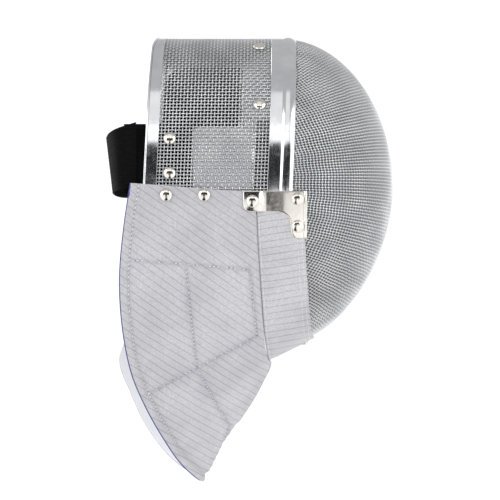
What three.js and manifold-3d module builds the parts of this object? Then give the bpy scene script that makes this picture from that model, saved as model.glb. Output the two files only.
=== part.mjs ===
// A fencing mask with a quilted bib, at its real size in millimetres.
// +X points out through the face, +Y to the wearer's left and +Z up.
// The origin is the crown seat, where the top of the head touches the crown pad.
import * as THREE from "three";
import { mergeVertices } from "three/addons/utils/BufferGeometryUtils.js";
import Module from "manifold-3d";

const wasm = await Module();
wasm.setup();

// Clearances
const gap = 0.3; // between pieces that touch
const seamGap = 0.4; // between two cloth edges sewn together

// Wire mesh shell, measured to the outside of the wires
const meshThickness = 2; // two crossed wires
const crownPadThickness = 13.7;
const halfWidth = 97; // face axis to the mesh at the ears
const crownRise = 137; // face axis to the top of the mesh
const chinDrop = 143.5; // face axis to the bottom of the face curve
const archPower = 2.2; // 2 would be an ellipse in the front view
const domeCentreX = 60; // where the face curve is widest
const domeDepth = 103; // from there to the tip of the face
const crownPower = 2; // the face curve's power above, 2 being an ellipse
const chinPower = 1.8; // and under the chin
const jawTangent = 27; // how far ahead of its middle the chin line turns straight
const jawStart = 105; // degrees from the crown where the jaw begins to flare
const faceAxisZ = crownPadThickness + gap + meshThickness - crownRise;
const earAngle = 90;
const sideMeshEnd = 104; // where the side mesh stops, under the bib

// Polished strips
const stripThickness = 0.8;
const rimTopX = -55; // rear edge of the rear strip at the crown
const rearStripWidth = 11.5;
const rearStripEnd = 97;
const rollHeight = 0.5; // the rolled rear edge over the strip
const rollWidth = 2;
const seamTopX = 62; // joint of the two meshes at the crown
const frontStripFlange = 10.5; // flat part behind the joint
const frontStripBead = 11.5; // rounded part ahead of the joint
const beadHeight = 1;
const beadShares = [0.15, 0.5, 0.85]; // where the bead's corners lie across its width
const beadPower = 0.6; // 1 would be a sine's arch
const frontStripEnd = 98.5;
const earSetback = 4.5; // how much further back strips and joint lie at the ears

// Bib
const liningThickness = 1;
const bibThickness = 2.2;
const bibPuff = 1.6; // how far the quilted panels swell between their seams
const quiltSpread = 9; // distance from a seam to a panel's full height
const quiltFade = 5.4; // the panels start to swell over this height below the top seam
const bibTopZ = faceAxisZ + 1;
const bibTopSlope = 8; // how much lower the top edge is at the front
const bibLength = 268; // top rear corner to the tip
const bibReach = 80; // how far behind the crown seat the free edge lies
const bibLift = 1.8; // clears the rear strip
const bibLiftRun = 12; // over this length ahead of the strip
const bindingWidth = 1.6;
const flapSwing = 23; // how far the left half's lower corner swings back
const bibSeamX = 38; // joint with the chin strip at the ear
const bibSeamRun = 12; // how much further forward it is under the chin
const bibSeamPower = 1.5; // 1 would carry it forward evenly round the jaw
const chinStripWidth = 40;
const chinStripThickness = 2;
const chinStripGap = 0.5; // from the mesh, whose facets are wide under the jaw
const chinStripStart = 101.5; // degrees from the crown
const meshUnderStrip = 1; // how far ahead of the bib's joint the face mesh starts

// Straps
const strapThickness = 2;
const strapWidth = 55;
const strapTopZ = faceAxisZ + 53.5;
const strapDrop = 2.5; // how much lower it lies at the back of the head
const anchorFront = 36; // the riveted end, ahead of the rim
const anchorRear = 17; // its free end, behind the rim
const strapFront = 6; // where the head strap starts, behind the rim
const strapReach = 37; // from there to the back of the head
const strapPower = 2.5; // 2 would be half an ellipse in the top view

// Pads
const sidePadThickness = 9;
const browPadRear = 26; // the brow legs of the crown pad
const padFront = 56;
const padRimGap = 1; // from the rear strip's inner leg
const crownPadHalfAngle = 33;
const browLegEnd = 57;
const rimLegWidth = 3; // the crown pad's legs beside the rim
const padGap = 0.5; // from them to the temple pads
const templePadFront = 24;
const templePadTop = 34.5;
const cheekPadRear = -17;
const cheekPadFront = 34;
const cheekPadTop = 61;
const cheekPadEnd = 98;
const padJoint = 1.5; // degrees between neighbouring pads

// Corner brackets
const bracketThickness = 1.2;
const bracketRear = 26.2;
const bracketLength = 54;
const bracketTopZ = faceAxisZ - 5.5;
const bracketHeight = 40;
const bracketTab = 17.5; // height of the rear tab
const bracketTabRound = 7; // its lower corner
const bracketNeck = 27; // where its lower edge turns down, from the rear
const bracketWing = 13.5; // width of the front wing
const bracketFoot = 7; // straight lower edge of the wing
const bracketStepStart = 40; // ahead of this it steps down to the chin strip
const bracketStepEnd = 52;
const bracketLip = 0.8; // the folded front edge
const bracketLipWidth = 2;

// Rivets
const headRadius = 5.4;
const headHeight = 2.6;
const chinHeadRadius = 3.2;
const chinRivetInset = 8.8; // from the chin strip's front edge
const headShoulder = { out: 0.68, up: 0.75 }; // shares of the head's radius and height
const shankRadius = 1.8;
const shankClearance = 0.3;
const tailRadius = 3.6;
const tailThickness = 1;
const tailClearance = 0.5;
const strapRivetAhead = 22.7; // from the rim at the ear
const strapRivetDrop = 14; // below the strap's upper edge
const strapRivetSpacing = 30;
const padRivetInset = 15.5; // from the front edge of the pads
const crownRivetAngle = 20.4;
const browRivetAngle = 51.2;
const bibRivetAhead = 8.5; // from the rear strip at the ear
const bibRivetDrop = 10.3; // below the bib's upper edge
const bibRivetSpacing = 32.5;
const tabRivetAhead = 8; // from the bracket's rear edge
const tabRivetDrop = 8.9; // below its upper edge
const wingRivetAhead = 46.4;
const wingRivetDrop = 7.1;
const wingRivetSpacing = 23.1;

const radians = THREE.MathUtils.degToRad;
const smooth = THREE.MathUtils.smoothstep;
const lerp = THREE.MathUtils.lerp;
const vector = (x, y, z) => new THREE.Vector3(x, y, z);
const normalStep = 0.02; // millimetres and degrees, for reading the wall's slope
const surfaceStep = 0.002; // shares, for reading the bib's slope
const weld = 1e-4; // corners closer than this are one
const steps = (from, to, count) => Array.from({ length: count + 1 }, (_, i) => lerp(from, to, i / count));

// An angle from the crown, either way round, as 0 to 180 degrees.
const fold = (angle) => Math.min(Math.abs(angle), 360 - Math.abs(angle));

// Distance from the face axis to the mesh, seen from the front.
function archRadius(angle) {
  const up = Math.cos(radians(angle));
  const out = Math.sin(radians(angle));
  const rise = up > 0 ? crownRise : chinDrop;
  return (Math.abs(out / halfWidth) ** archPower + Math.abs(up / rise) ** archPower) ** (-1 / archPower);
}

// Share of that distance at a station along X: the face curve, then a straight line behind it.
function profileShare(x, angle) {
  const jaw = smooth(fold(angle), jawStart, 180);
  const power = lerp(crownPower, chinPower, jaw);
  const curve = (t) => (1 - Math.min(t, 1) ** power) ** (1 / power);
  const tangent = (jawTangent * jaw) / domeDepth;
  const ahead = (x - domeCentreX) / domeDepth;
  if (ahead >= tangent) return curve(ahead);
  const slope = tangent ** (power - 1) * curve(tangent) ** (1 - power);
  return curve(tangent) + slope * (tangent - ahead);
}

// A point on the outside of the wires, for a station and an angle from the crown.
function wall(x, angle) {
  const radius = archRadius(angle) * profileShare(x, angle);
  return vector(x, radius * Math.sin(radians(angle)), faceAxisZ + radius * Math.cos(radians(angle)));
}

// The same surface by the turn of the face curve, which spaces the stations evenly round it.
const face = (turn, angle) => wall(domeCentreX + domeDepth * Math.sin(radians(turn)), angle);
const turnAt = (x) => THREE.MathUtils.radToDeg(Math.asin((x - domeCentreX) / domeDepth));

// Angle from the crown at which the straight wall has a given height.
function angleAtHeight(z) {
  const up = z - faceAxisZ;
  const rise = up > 0 ? crownRise : chinDrop;
  const out = halfWidth * (1 - Math.abs(up / rise) ** archPower) ** (1 / archPower);
  return THREE.MathUtils.radToDeg(Math.atan2(out, up));
}

// A point at a height over a surface, along its normal and away from the face axis.
function raised(surface, u, v, height, step = normalStep) {
  const alongU = surface(u + step, v).sub(surface(u - step, v));
  const alongV = surface(u, v + step).sub(surface(u, v - step));
  const normal = alongU.cross(alongV).normalize();
  const point = surface(u, v);
  if (normal.dot(point.clone().sub(vector(0, 0, faceAxisZ))) < 0) normal.negate();
  return point.addScaledVector(normal, height);
}

const onWall = (x, angle, height) => raised(wall, x, angle, height);
const setback = (angle) => earSetback * (1 - Math.cos(radians(Math.min(fold(angle), earAngle))));
const rimX = (angle) => rimTopX - setback(angle);
const jointX = (angle) => seamTopX - setback(angle);
const pastMesh = (angle) => Math.max(fold(angle) - sideMeshEnd, 0) / (180 - sideMeshEnd);
const bibJointX = (angle) => bibSeamX + bibSeamRun * pastMesh(angle) ** bibSeamPower;

// Turns a list of corners and faces into geometry that faces outwards.
function geometryOf(points, triangles) {
  const made = new THREE.BufferGeometry();
  made.setAttribute("position", new THREE.Float32BufferAttribute(points.flatMap((p) => p.toArray()), 3));
  const volume = triangles.reduce(
    (sum, [i, j, k]) => sum + points[i].dot(points[j].clone().cross(points[k])),
    0,
  );
  made.setIndex(volume < 0 ? triangles.flatMap(([i, j, k]) => [i, k, j]) : triangles.flat());
  return made;
}

// A curved sheet on a grid of cells. place(i, j, side) gives a corner of its inner (0) or outer (1) face,
// and an edge face stands wherever a filled cell meets an empty one.
function sheet(columns, rows, place, { closed = false, filled = () => true } = {}) {
  const points = [];
  const known = new Map();
  const corner = (i, j, side) => {
    const point = place(closed ? i % columns : i, j, side);
    const key = point.toArray().map((value) => value.toFixed(4)).join();
    if (!known.has(key)) known.set(key, points.push(point) - 1);
    return known.get(key);
  };
  const triangles = [];
  const quad = (a, b, c, d) => {
    const halves = [[a, b, c], [a, c, d]];
    triangles.push(...halves.filter((half) => new Set(half).size === 3));
  };
  const has = (i, j) => {
    const column = closed ? (i + columns) % columns : i;
    return column >= 0 && column < columns && j >= 0 && j < rows && filled(column, j);
  };
  for (let i = 0; i < columns; i += 1) {
    for (let j = 0; j < rows; j += 1) {
      if (!has(i, j)) continue;
      const [p, q, r, s] = [[i, j], [i + 1, j], [i + 1, j + 1], [i, j + 1]].map(([a, b]) =>
        [0, 1].map((side) => corner(a, b, side)),
      );
      quad(p[1], q[1], r[1], s[1]);
      quad(p[0], s[0], r[0], q[0]);
      if (!has(i - 1, j)) quad(p[0], p[1], s[1], s[0]);
      if (!has(i + 1, j)) quad(q[1], q[0], r[0], r[1]);
      if (!has(i, j - 1)) quad(p[1], p[0], q[0], q[1]);
      if (!has(i, j + 1)) quad(s[0], s[1], r[1], r[0]);
    }
  }
  return geometryOf(points, triangles);
}

// A bar with a closed outline, as [along, height] corners, carried through stations.
function bar(stations, outline, place) {
  const count = outline.length;
  const section = (station) => outline.map(([along, height]) => place(station, along, height));
  const points = stations.flatMap(section);
  const triangles = [];
  for (let i = 0; i + 1 < stations.length; i += 1) {
    for (let k = 0; k < count; k += 1) {
      const next = (k + 1) % count;
      const [a, b, c, d] = [i * count + k, i * count + next, (i + 1) * count + next, (i + 1) * count + k];
      triangles.push([a, b, c], [a, c, d]);
    }
  }
  const flat = outline.map(([along, height]) => new THREE.Vector2(along, height));
  const turn = (list) => Math.sign(THREE.ShapeUtils.area(list));
  const last = points.length - count;
  for (const found of THREE.ShapeUtils.triangulateShape(flat, [])) {
    const [p, q, r] = turn(found.map((k) => flat[k])) === turn(flat) ? found : [...found].reverse();
    triangles.push([p, r, q], [last + p, last + q, last + r]);
  }
  return geometryOf(points, triangles);
}

// A turned body: [radius, height] corners from axis to axis, standing on a point of the wall.
function turned(profile, sides, x, angle) {
  const made = new THREE.LatheGeometry(profile.map(([r, h]) => new THREE.Vector2(r, h)), sides);
  const foot = onWall(x, angle, 0);
  const up = onWall(x, angle, 1).sub(foot);
  made.applyQuaternion(new THREE.Quaternion().setFromUnitVectors(vector(0, 1, 0), up));
  made.translate(...foot.toArray());
  return geometryFrom(solidOf(made));
}

function solidOf(geometry) {
  const plain = geometry.clone();
  plain.deleteAttribute("normal");
  plain.deleteAttribute("uv");
  const merged = mergeVertices(plain, weld);
  const { position } = merged.attributes;
  const faces = [...merged.index.array];
  const corners = (i) => [0, 1, 2].map((k) => vector().fromBufferAttribute(position, faces[i + k]));
  const kept = [];
  let volume = 0;
  for (let i = 0; i < faces.length; i += 3) {
    if (new Set(faces.slice(i, i + 3)).size < 3) continue;
    const [a, b, c] = corners(i);
    volume += a.dot(b.cross(c));
    kept.push(...faces.slice(i, i + 3));
  }
  return new wasm.Manifold(
    new wasm.Mesh({
      numProp: 3,
      vertProperties: new Float32Array(position.array),
      triVerts: new Uint32Array(volume < 0 ? kept.reverse() : kept),
    }),
  );
}

function geometryFrom(solid) {
  const { vertProperties, triVerts, numProp } = solid.getMesh();
  const made = new THREE.BufferGeometry();
  const places = vertProperties.filter((_, i) => i % numProp < 3);
  made.setAttribute("position", new THREE.Float32BufferAttribute(places, 3));
  made.setIndex([...triVerts]);
  return made;
}

const finish = {
  wire: { color: 0xb4b6b8, roughness: 0.38, metalness: 1 },
  steel: { color: 0xd9dbdd, roughness: 0.12, metalness: 1 },
  nickel: { color: 0xd8d2c6, roughness: 0.14, metalness: 1 },
  lame: { color: 0xc3c3c8, roughness: 0.55, metalness: 0.35 },
  lining: { color: 0xf0f0f3, roughness: 0.9, metalness: 0 },
  piping: { color: 0x2b3a92, roughness: 0.8, metalness: 0 },
  webbing: { color: 0x111112, roughness: 0.85, metalness: 0 },
  palePad: { color: 0xd5d6d8, roughness: 0.95, metalness: 0 },
  darkPad: { color: 0x17181a, roughness: 0.95, metalness: 0 },
};
const materials = Object.fromEntries(
  Object.entries(finish).map(([name, look]) => [name, new THREE.MeshStandardMaterial({ name, ...look })]),
);
const sides = [
  { side: "left", sign: 1 },
  { side: "right", sign: -1 },
];
const pieces = new Map(); // name to { geometry, material }

// Stations round the arch, shared by every piece that follows it.
const archSteps = steps(0, sideMeshEnd, 16);
function archStations(end) {
  const half = [...archSteps.filter((angle) => angle < end - padJoint), end];
  return [...half.slice(1).reverse().map((angle) => -angle), ...half];
}

// Wire meshes. The face mesh starts at the joint and, below the side mesh, under the chin strip.
const jawSteps = steps(sideMeshEnd + padJoint, 180, 9);
const faceColumns = [...archSteps, ...jawSteps];
const aroundFace = [...faceColumns, ...faceColumns.slice(1, -1).reverse().map((angle) => 360 - angle)];
const faceRows = 9;
const poleTurn = 90;

function faceMesh() {
  const start = (angle) =>
    fold(angle) > sideMeshEnd ? bibJointX(angle) + meshUnderStrip : jointX(angle) + gap;
  return sheet(
    aroundFace.length,
    faceRows,
    (i, j, side) => {
      const angle = aroundFace[i];
      const height = (side - 1) * meshThickness;
      if (j === faceRows) return vector(domeCentreX + domeDepth + height, 0, faceAxisZ);
      const turn = lerp(turnAt(start(angle)), poleTurn, j / faceRows);
      return raised(face, turn, angle, height);
    },
    { closed: true },
  );
}

const rimEdge = gap + stripThickness + gap; // the mesh stops this far inside the rear strip's fold

function sideMesh() {
  const stations = archStations(sideMeshEnd);
  const edges = [(angle) => rimX(angle) + rimEdge, (angle) => jointX(angle) - gap];
  return sheet(stations.length - 1, 1, (i, j, side) =>
    onWall(edges[j](stations[i]), stations[i], (side - 1) * meshThickness),
  );
}

pieces.set("face_mesh", { geometry: faceMesh(), material: "wire" });
pieces.set("side_mesh", { geometry: sideMesh(), material: "wire" });

// The rear strip folds round the mesh's edge, with a rolled lip outside.
function rearStrip() {
  const under = gap;
  const over = gap + stripThickness;
  const inside = -meshThickness - gap;
  const outline = [
    [rearStripWidth, under],
    [rearStripWidth, over],
    [rollWidth, over],
    [rollWidth - stripThickness, over + rollHeight],
    [0, over],
    [0, inside - stripThickness],
    [rearStripWidth, inside - stripThickness],
    [rearStripWidth, inside],
    [stripThickness, inside],
    [stripThickness, under],
  ];
  return bar(archStations(rearStripEnd), outline, (angle, along, height) =>
    onWall(rimX(angle) + along, angle, height),
  );
}

// The front strip covers the joint: a flat flange behind it and a rounded bead ahead.
function frontStrip() {
  const over = gap + stripThickness;
  const bead = beadShares.map((share) => [
    share * frontStripBead,
    over + beadHeight * Math.sin(Math.PI * share) ** beadPower,
  ]);
  const outline = [
    [-frontStripFlange, gap],
    [0, gap],
    [frontStripBead / 2, gap],
    [frontStripBead, gap],
    [frontStripBead, over],
    ...bead.reverse(),
    [0, over],
    [-frontStripFlange, over],
  ];
  return bar(archStations(frontStripEnd), outline, (angle, along, height) =>
    onWall(jointX(angle) + along, angle, height),
  );
}

pieces.set("rear_strip", { geometry: rearStrip(), material: "steel" });
pieces.set("front_strip", { geometry: frontStrip(), material: "steel" });

// Bib. Each row is a line from the joint on the mesh to the free edge, from the ear down to the tip.
// drop: share of bibLength below the top edge. reach: share of bibReach behind the crown seat.
// spread: share of halfWidth. seam: how far round the jaw the line starts. swing: share of flapSwing.
const bibRows = [
  { drop: 0, reach: 0.88, spread: 1, seam: 0, swing: 0 },
  { drop: 0.15, reach: 0.955, spread: 1, seam: 0.22, swing: 0 },
  { drop: 0.3, reach: 1, spread: 0.98, seam: 0.41, swing: 0 },
  { drop: 0.45, reach: 0.985, spread: 0.91, seam: 0.6, swing: 0.08 },
  { drop: 0.6, reach: 0.91, spread: 0.8, seam: 0.77, swing: 1 },
  { drop: 0.72, reach: 0.77, spread: 0.655, seam: 0.86, swing: 1 },
  { drop: 0.83, reach: 0.595, spread: 0.48, seam: 0.925, swing: 0.93 },
  { drop: 0.93, reach: 0.4, spread: 0.26, seam: 0.97, swing: 0.6 },
  { drop: 1, reach: 0.195, spread: 0, seam: 1, swing: 0 },
];
const crossesOver = { spread: true, seam: true }; // columns that change side at the tip
const bibTopAngle = angleAtHeight(bibTopZ - bibTopSlope);
const lastRow = bibRows.length - 1;

function rowValue(index, column) {
  if (index < 0) return 2 * bibRows[0][column] - bibRows[-index][column];
  if (index <= lastRow) return bibRows[index][column];
  const mirrored = bibRows[2 * lastRow - index][column];
  return crossesOver[column] ? 2 * bibRows[lastRow][column] - mirrored : mirrored;
}

// A smooth reading of the table at a share of its length.
function bibValue(share, column) {
  const at = share * lastRow;
  const index = Math.floor(Math.min(Math.max(at, 0), lastRow));
  const [a, b, c, d] = [-1, 0, 1, 2].map((k) => rowValue(index + k, column));
  const t = at - index;
  return b + 0.5 * t * (c - a + t * (2 * a - 5 * b + 4 * c - d + t * (3 * (b - c) + d - a)));
}

// The bib's surface: u runs from the joint to the free edge, and v from the left ear (0)
// past the tip (1) to the right ear (2).
function bibSurface(u, v) {
  const left = v <= 1;
  const share = left ? v : 2 - v;
  const value = (column) => bibValue(share, column);
  const angle = lerp(bibTopAngle, 180, value("seam"));
  const start = wall(bibJointX(angle), angle);
  const end = vector(
    -bibReach * value("reach") - (left ? flapSwing * value("swing") : 0),
    halfWidth * value("spread"),
    bibTopZ - bibLength * value("drop"),
  );
  const point = start.lerp(end, u);
  return left ? point : point.setY(-point.y);
}

// Quilting seams in the side view, from one end to the other.
// back: shares of bibReach behind the crown seat. drop: shares of bibLength below the top edge.
const quiltSeams = [
  { back: 0.884, drop: 0.244, toBack: -0.389, toDrop: 0.2735 },
  { back: 0.286, drop: 0.258, toBack: 0.191, toDrop: 0.595 },
  { back: -0.396, drop: 0.276, toBack: -0.469, toDrop: 0.487 },
  { back: 0.75, drop: 0.679, toBack: 0.191, toDrop: 0.595 },
  { back: 0.191, drop: 0.595, toBack: -0.469, toDrop: 0.487 },
  { back: 0.191, drop: 0.595, toBack: -0.009, toDrop: 0.7295 },
  { back: -0.009, drop: 0.7295, toBack: -0.14, toDrop: 0.806 },
];
const quiltTop = quiltSeams[0];
const edgeSeam = 8; // from the free edge to the seam beside it

function seamDistance(x, z) {
  const at = (back, drop) => new THREE.Vector3(-bibReach * back, bibTopZ - bibLength * drop, 0);
  const here = vector(x, z, 0);
  return Math.min(
    ...quiltSeams.map(({ back, drop, toBack, toDrop }) =>
      new THREE.Line3(at(back, drop), at(toBack, toDrop))
        .closestPointToPoint(here, true, vector())
        .distanceTo(here),
    ),
  );
}

function puff(u, v) {
  const point = bibSurface(u, v);
  const topSeam = bibLength * quiltTop.drop;
  const below = smooth(bibTopZ - point.z, topSeam, bibLength * quiltTop.toDrop + quiltFade);
  const fromEdge = point.distanceTo(bibSurface(1, v)) - edgeSeam;
  const fromJoint = point.distanceTo(bibSurface(0, v));
  const away = Math.min(seamDistance(point.x, point.z), Math.abs(fromEdge), fromJoint);
  return below * bibPuff * (1 - Math.exp(-((away / quiltSpread) ** 2) * 2));
}

// Over the rear strip the bib stands clear of the strip and its rolled edge.
const stripFront = rimTopX + rearStripWidth;
const lift = (x) => bibLift * (1 - smooth(x, stripFront - earSetback, stripFront + bibLiftRun));
const bibInner = gap + liningThickness + gap;
const bibOuter = bibInner + bibThickness;

function onBib(u, v, height) {
  const { x } = bibSurface(u, v);
  return raised(bibSurface, u, v, height + lift(x), surfaceStep);
}

// A share of the ruling's length, less the room for the chin strip's edge and for the binding.
// Where the bib turns down from the mesh its edge stands further back, so that its outer corner is clear.
function bibShare(u, v) {
  const ruling = bibSurface(1, v).sub(bibSurface(0, v));
  const angle = lerp(bibTopAngle, 180, bibValue(v <= 1 ? v : 2 - v, "seam")) * (v <= 1 ? 1 : -1);
  const back = wall(bibJointX(angle) - 1, angle).sub(wall(bibJointX(angle), angle));
  const mitre = bibOuter * Math.tan(Math.min(ruling.angleTo(back), Math.PI / 4));
  const length = ruling.length();
  return lerp((seamGap / 2 + mitre) / length, 1 - (gap + bindingWidth) / length, u);
}

const bibColumns = 42;
const bibAcross = steps(0, 2, bibColumns);
const bibSpacing = [0, 0.16, 0.33, 0.5, 0.66, 0.8, 0.9, 1];

// One layer of the bib, between two heights over its surface.
function bibLayer(inner, outer) {
  return sheet(bibColumns, bibSpacing.length - 1, (i, j, side) => {
    const [v, u] = [bibAcross[i], bibShare(bibSpacing[j], bibAcross[i])];
    return onBib(u, v, side ? outer(u, v) : inner);
  });
}

function bibBinding() {
  const outline = [
    [0, gap],
    [bindingWidth, gap + liningThickness],
    [bindingWidth, bibOuter - liningThickness],
    [0, bibOuter],
  ];
  return bar(bibAcross, outline, (v, along, height) => {
    const length = bibSurface(0, v).distanceTo(bibSurface(1, v));
    return onBib(1 - (bindingWidth - along) / length, v, height);
  });
}

const quilted = (u, v) => bibOuter + puff(u, v);
const plainLining = () => gap + liningThickness;
pieces.set("bib", { geometry: bibLayer(bibInner, quilted), material: "lame" });
pieces.set("bib_lining", { geometry: bibLayer(gap, plainLining), material: "lining" });
pieces.set("bib_binding", { geometry: bibBinding(), material: "piping" });

// The chin strip lies over the face mesh, from one bracket under the chin to the other.
function chinStrip() {
  const half = [chinStripStart, ...jawSteps];
  const stations = [...half, ...half.slice(0, -1).reverse().map((angle) => 360 - angle)];
  const across = steps(0, 1, 4);
  return sheet(stations.length - 1, across.length - 1, (i, j, side) =>
    onWall(
      bibJointX(stations[i]) + seamGap / 2 + across[j] * chinStripWidth,
      stations[i],
      chinStripGap + side * chinStripThickness,
    ),
  );
}

pieces.set("chin_strip", { geometry: chinStrip(), material: "lame" });

// Straps. Each anchor is riveted inside the mesh, and the head strap closes the loop behind the head.
const anchorTop = -meshThickness - gap - stripThickness - gap; // clear of the rear strip's inner leg
const anchorBottom = anchorTop - strapThickness;

for (const { side, sign } of sides) {
  const stations = steps(angleAtHeight(strapTopZ), angleAtHeight(strapTopZ - strapWidth), 5);
  const reach = [rimX(earAngle) + anchorFront, rimX(earAngle) - anchorRear];
  const geometry = sheet(stations.length - 1, 1, (i, j, outer) =>
    onWall(reach[j], sign * stations[i], outer ? anchorTop : anchorBottom),
  );
  pieces.set(`strap_anchor_${side}`, { geometry, material: "webbing" });
}

function headStrap() {
  const stations = steps(-90, 90, 24);
  const start = rimX(earAngle) - strapFront;
  const bend = strapReach - anchorRear + strapFront; // depth of the curved part, behind the anchors
  const half = halfWidth + anchorTop + gap;
  return sheet(stations.length + 1, 1, (i, j, outer) => {
    const straight = i === 0 || i === stations.length + 1;
    const turn = radians(stations[THREE.MathUtils.clamp(i - 1, 0, stations.length - 1)]);
    const [across, back] = [Math.sin(turn), Math.cos(turn)];
    const size = outer * strapThickness;
    const y = Math.sign(across) * Math.abs(across) ** (2 / strapPower) * (half + size);
    const depth = Math.abs(back) ** (2 / strapPower);
    const x = straight ? start : start - (strapReach - bend) - depth * (bend - strapThickness + size);
    return vector(x, y, strapTopZ - j * strapWidth - strapDrop * depth);
  });
}

pieces.set("head_strap", { geometry: headStrap(), material: "webbing" });

// Pads, all inside the mesh
const padTop = -meshThickness - gap;

function pad(stations, edges, thickness, filled) {
  return sheet(
    stations.length - 1,
    edges.length - 1,
    (i, j, outer) => {
      const angle = stations[i];
      return onWall(edges[j](angle), angle, outer ? padTop : padTop - thickness(angle));
    },
    { filled },
  );
}

const crownThickness = (angle) =>
  lerp(crownPadThickness, sidePadThickness, smooth(fold(angle), crownPadHalfAngle / 2, crownPadHalfAngle));
const crownStations = [
  ...steps(-browLegEnd, -crownPadHalfAngle, 4),
  ...steps(-crownPadHalfAngle, crownPadHalfAngle, 10).slice(1, -1),
  ...steps(crownPadHalfAngle, browLegEnd, 4),
];
const insideRim = (angle) => rimX(angle) + rearStripWidth + padRimGap;
const rimLegEdge = (angle) => insideRim(angle) + rimLegWidth;
const crownEdges = [insideRim, rimLegEdge, () => browPadRear, () => padFront];
const crownPad = pad(crownStations, crownEdges, crownThickness, (i, j) => {
  const middle = (crownStations[i] + crownStations[i + 1]) / 2;
  return Math.abs(middle) < crownPadHalfAngle || j !== 1;
});
pieces.set("crown_pad", { geometry: crownPad, material: "palePad" });

for (const { side, sign } of sides) {
  const arc = (from, to, count) => steps(sign * from, sign * to, count);
  const temple = arc(templePadTop, cheekPadTop - padJoint, 4);
  const cheek = arc(cheekPadTop, cheekPadEnd, 5);
  const thickness = () => sidePadThickness;
  pieces.set(`temple_pad_${side}`, {
    geometry: pad(temple, [(angle) => rimLegEdge(angle) + padGap, () => templePadFront], thickness),
    material: "darkPad",
  });
  pieces.set(`cheek_pad_${side}`, {
    geometry: pad(cheek, [() => cheekPadRear, () => cheekPadFront], thickness),
    material: "palePad",
  });
}

// Corner brackets: a raised patch of the wall, cut to the plate's outline.
const bracketHigh = bibOuter + gap;
const bracketLow = chinStripGap + chinStripThickness + gap;
const bracketBase = (x) => lerp(bracketHigh, bracketLow, smooth(x, bracketStepStart, bracketStepEnd));
const bracketFront = bracketRear + bracketLength;

function bracketOutline() {
  const bottom = bracketTopZ - bracketHeight;
  const tabBottom = bracketTopZ - bracketTab;
  const wing = bracketFront - bracketWing;
  const waist = (tabBottom + bottom) / 2;
  const shape = new THREE.Shape();
  shape.moveTo(bracketRear, bracketTopZ);
  shape.lineTo(bracketRear, tabBottom + bracketTabRound);
  shape.quadraticCurveTo(bracketRear, tabBottom, bracketRear + bracketTabRound, tabBottom);
  shape.lineTo(bracketRear + bracketNeck, tabBottom);
  shape.quadraticCurveTo(wing, tabBottom, wing, waist);
  shape.quadraticCurveTo(wing, bottom, bracketFront - bracketFoot, bottom);
  shape.lineTo(bracketFront, bottom);
  shape.lineTo(bracketFront, bracketTopZ);
  return shape;
}

function bracket(sign) {
  const margin = bracketThickness;
  const lipStart = bracketFront - bracketLipWidth;
  const along = [
    bracketRear - margin,
    ...steps(bracketStepStart, bracketStepEnd, 3),
    ...steps(bracketStepEnd, lipStart - bracketLip, 3).slice(1),
    lipStart,
    bracketFront + margin,
  ];
  const arc = steps(
    angleAtHeight(bracketTopZ + margin),
    angleAtHeight(bracketTopZ - bracketHeight - margin) + padJoint,
    4,
  );
  const patch = sheet(along.length - 1, arc.length - 1, (i, j, outer) => {
    const lip = outer && along[i] >= lipStart ? bracketLip : 0;
    return onWall(along[i], sign * arc[j], bracketBase(along[i]) + outer * bracketThickness + lip);
  });
  const depth = halfWidth;
  const extrusion = { depth, bevelEnabled: false, curveSegments: 5 };
  const plate = new THREE.ExtrudeGeometry(bracketOutline(), extrusion);
  plate.rotateX(Math.PI / 2); // the outline's second axis becomes +Z and its depth -Y
  plate.translate(0, sign * halfWidth + depth / 2, 0);
  return geometryFrom(solidOf(patch).intersect(solidOf(plate)));
}

for (const { side, sign } of sides) {
  pieces.set(`corner_bracket_${side}`, { geometry: bracket(sign), material: "nickel" });
}

// Rivets: the place, the height of the seat under the head, the last wall inside, and every wall
// that the shank passes.
const bibPlace = ["side_mesh", "bib", "bib_lining"];
const atStrap = { x: rimX(earAngle) + strapRivetAhead, seat: 0, inside: anchorBottom };
const atPads = { x: padFront - padRivetInset, seat: 0, walls: ["side_mesh", "crown_pad"] };
const atBib = { angle: angleAtHeight(bibTopZ - bibRivetDrop), seat: bibOuter };
const stripFrontEar = rimX(earAngle) + rearStripWidth;
const atWing = { x: bracketRear + wingRivetAhead, seat: bracketLow + bracketThickness };
const rivetRows = [
  {
    name: "strap_rivet_upper",
    ...atStrap,
    angle: angleAtHeight(strapTopZ - strapRivetDrop),
    walls: ["side_mesh", "strap_anchor"],
  },
  {
    name: "strap_rivet_lower",
    ...atStrap,
    angle: angleAtHeight(strapTopZ - strapRivetDrop - strapRivetSpacing),
    walls: ["side_mesh", "strap_anchor"],
  },
  { name: "crown_rivet", ...atPads, angle: crownRivetAngle },
  { name: "brow_rivet", ...atPads, angle: browRivetAngle },
  { name: "bib_rivet_rear", ...atBib, x: stripFrontEar + bibRivetAhead, walls: bibPlace },
  {
    name: "bib_rivet_front",
    ...atBib,
    x: stripFrontEar + bibRivetAhead + bibRivetSpacing,
    walls: [...bibPlace, "cheek_pad"],
  },
  {
    name: "bracket_rivet_rear",
    x: bracketRear + tabRivetAhead,
    angle: angleAtHeight(bracketTopZ - tabRivetDrop),
    seat: bracketHigh + bracketThickness,
    walls: [...bibPlace, "corner_bracket", "cheek_pad"],
  },
  {
    name: "bracket_rivet_upper",
    ...atWing,
    angle: angleAtHeight(bracketTopZ - wingRivetDrop),
    walls: ["face_mesh", "corner_bracket"],
  },
  {
    name: "bracket_rivet_lower",
    ...atWing,
    angle: angleAtHeight(bracketTopZ - wingRivetDrop - wingRivetSpacing),
    walls: ["face_mesh", "chin_strip", "corner_bracket"],
  },
];
const rivetSides = 8;
const holeSides = 4;

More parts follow.
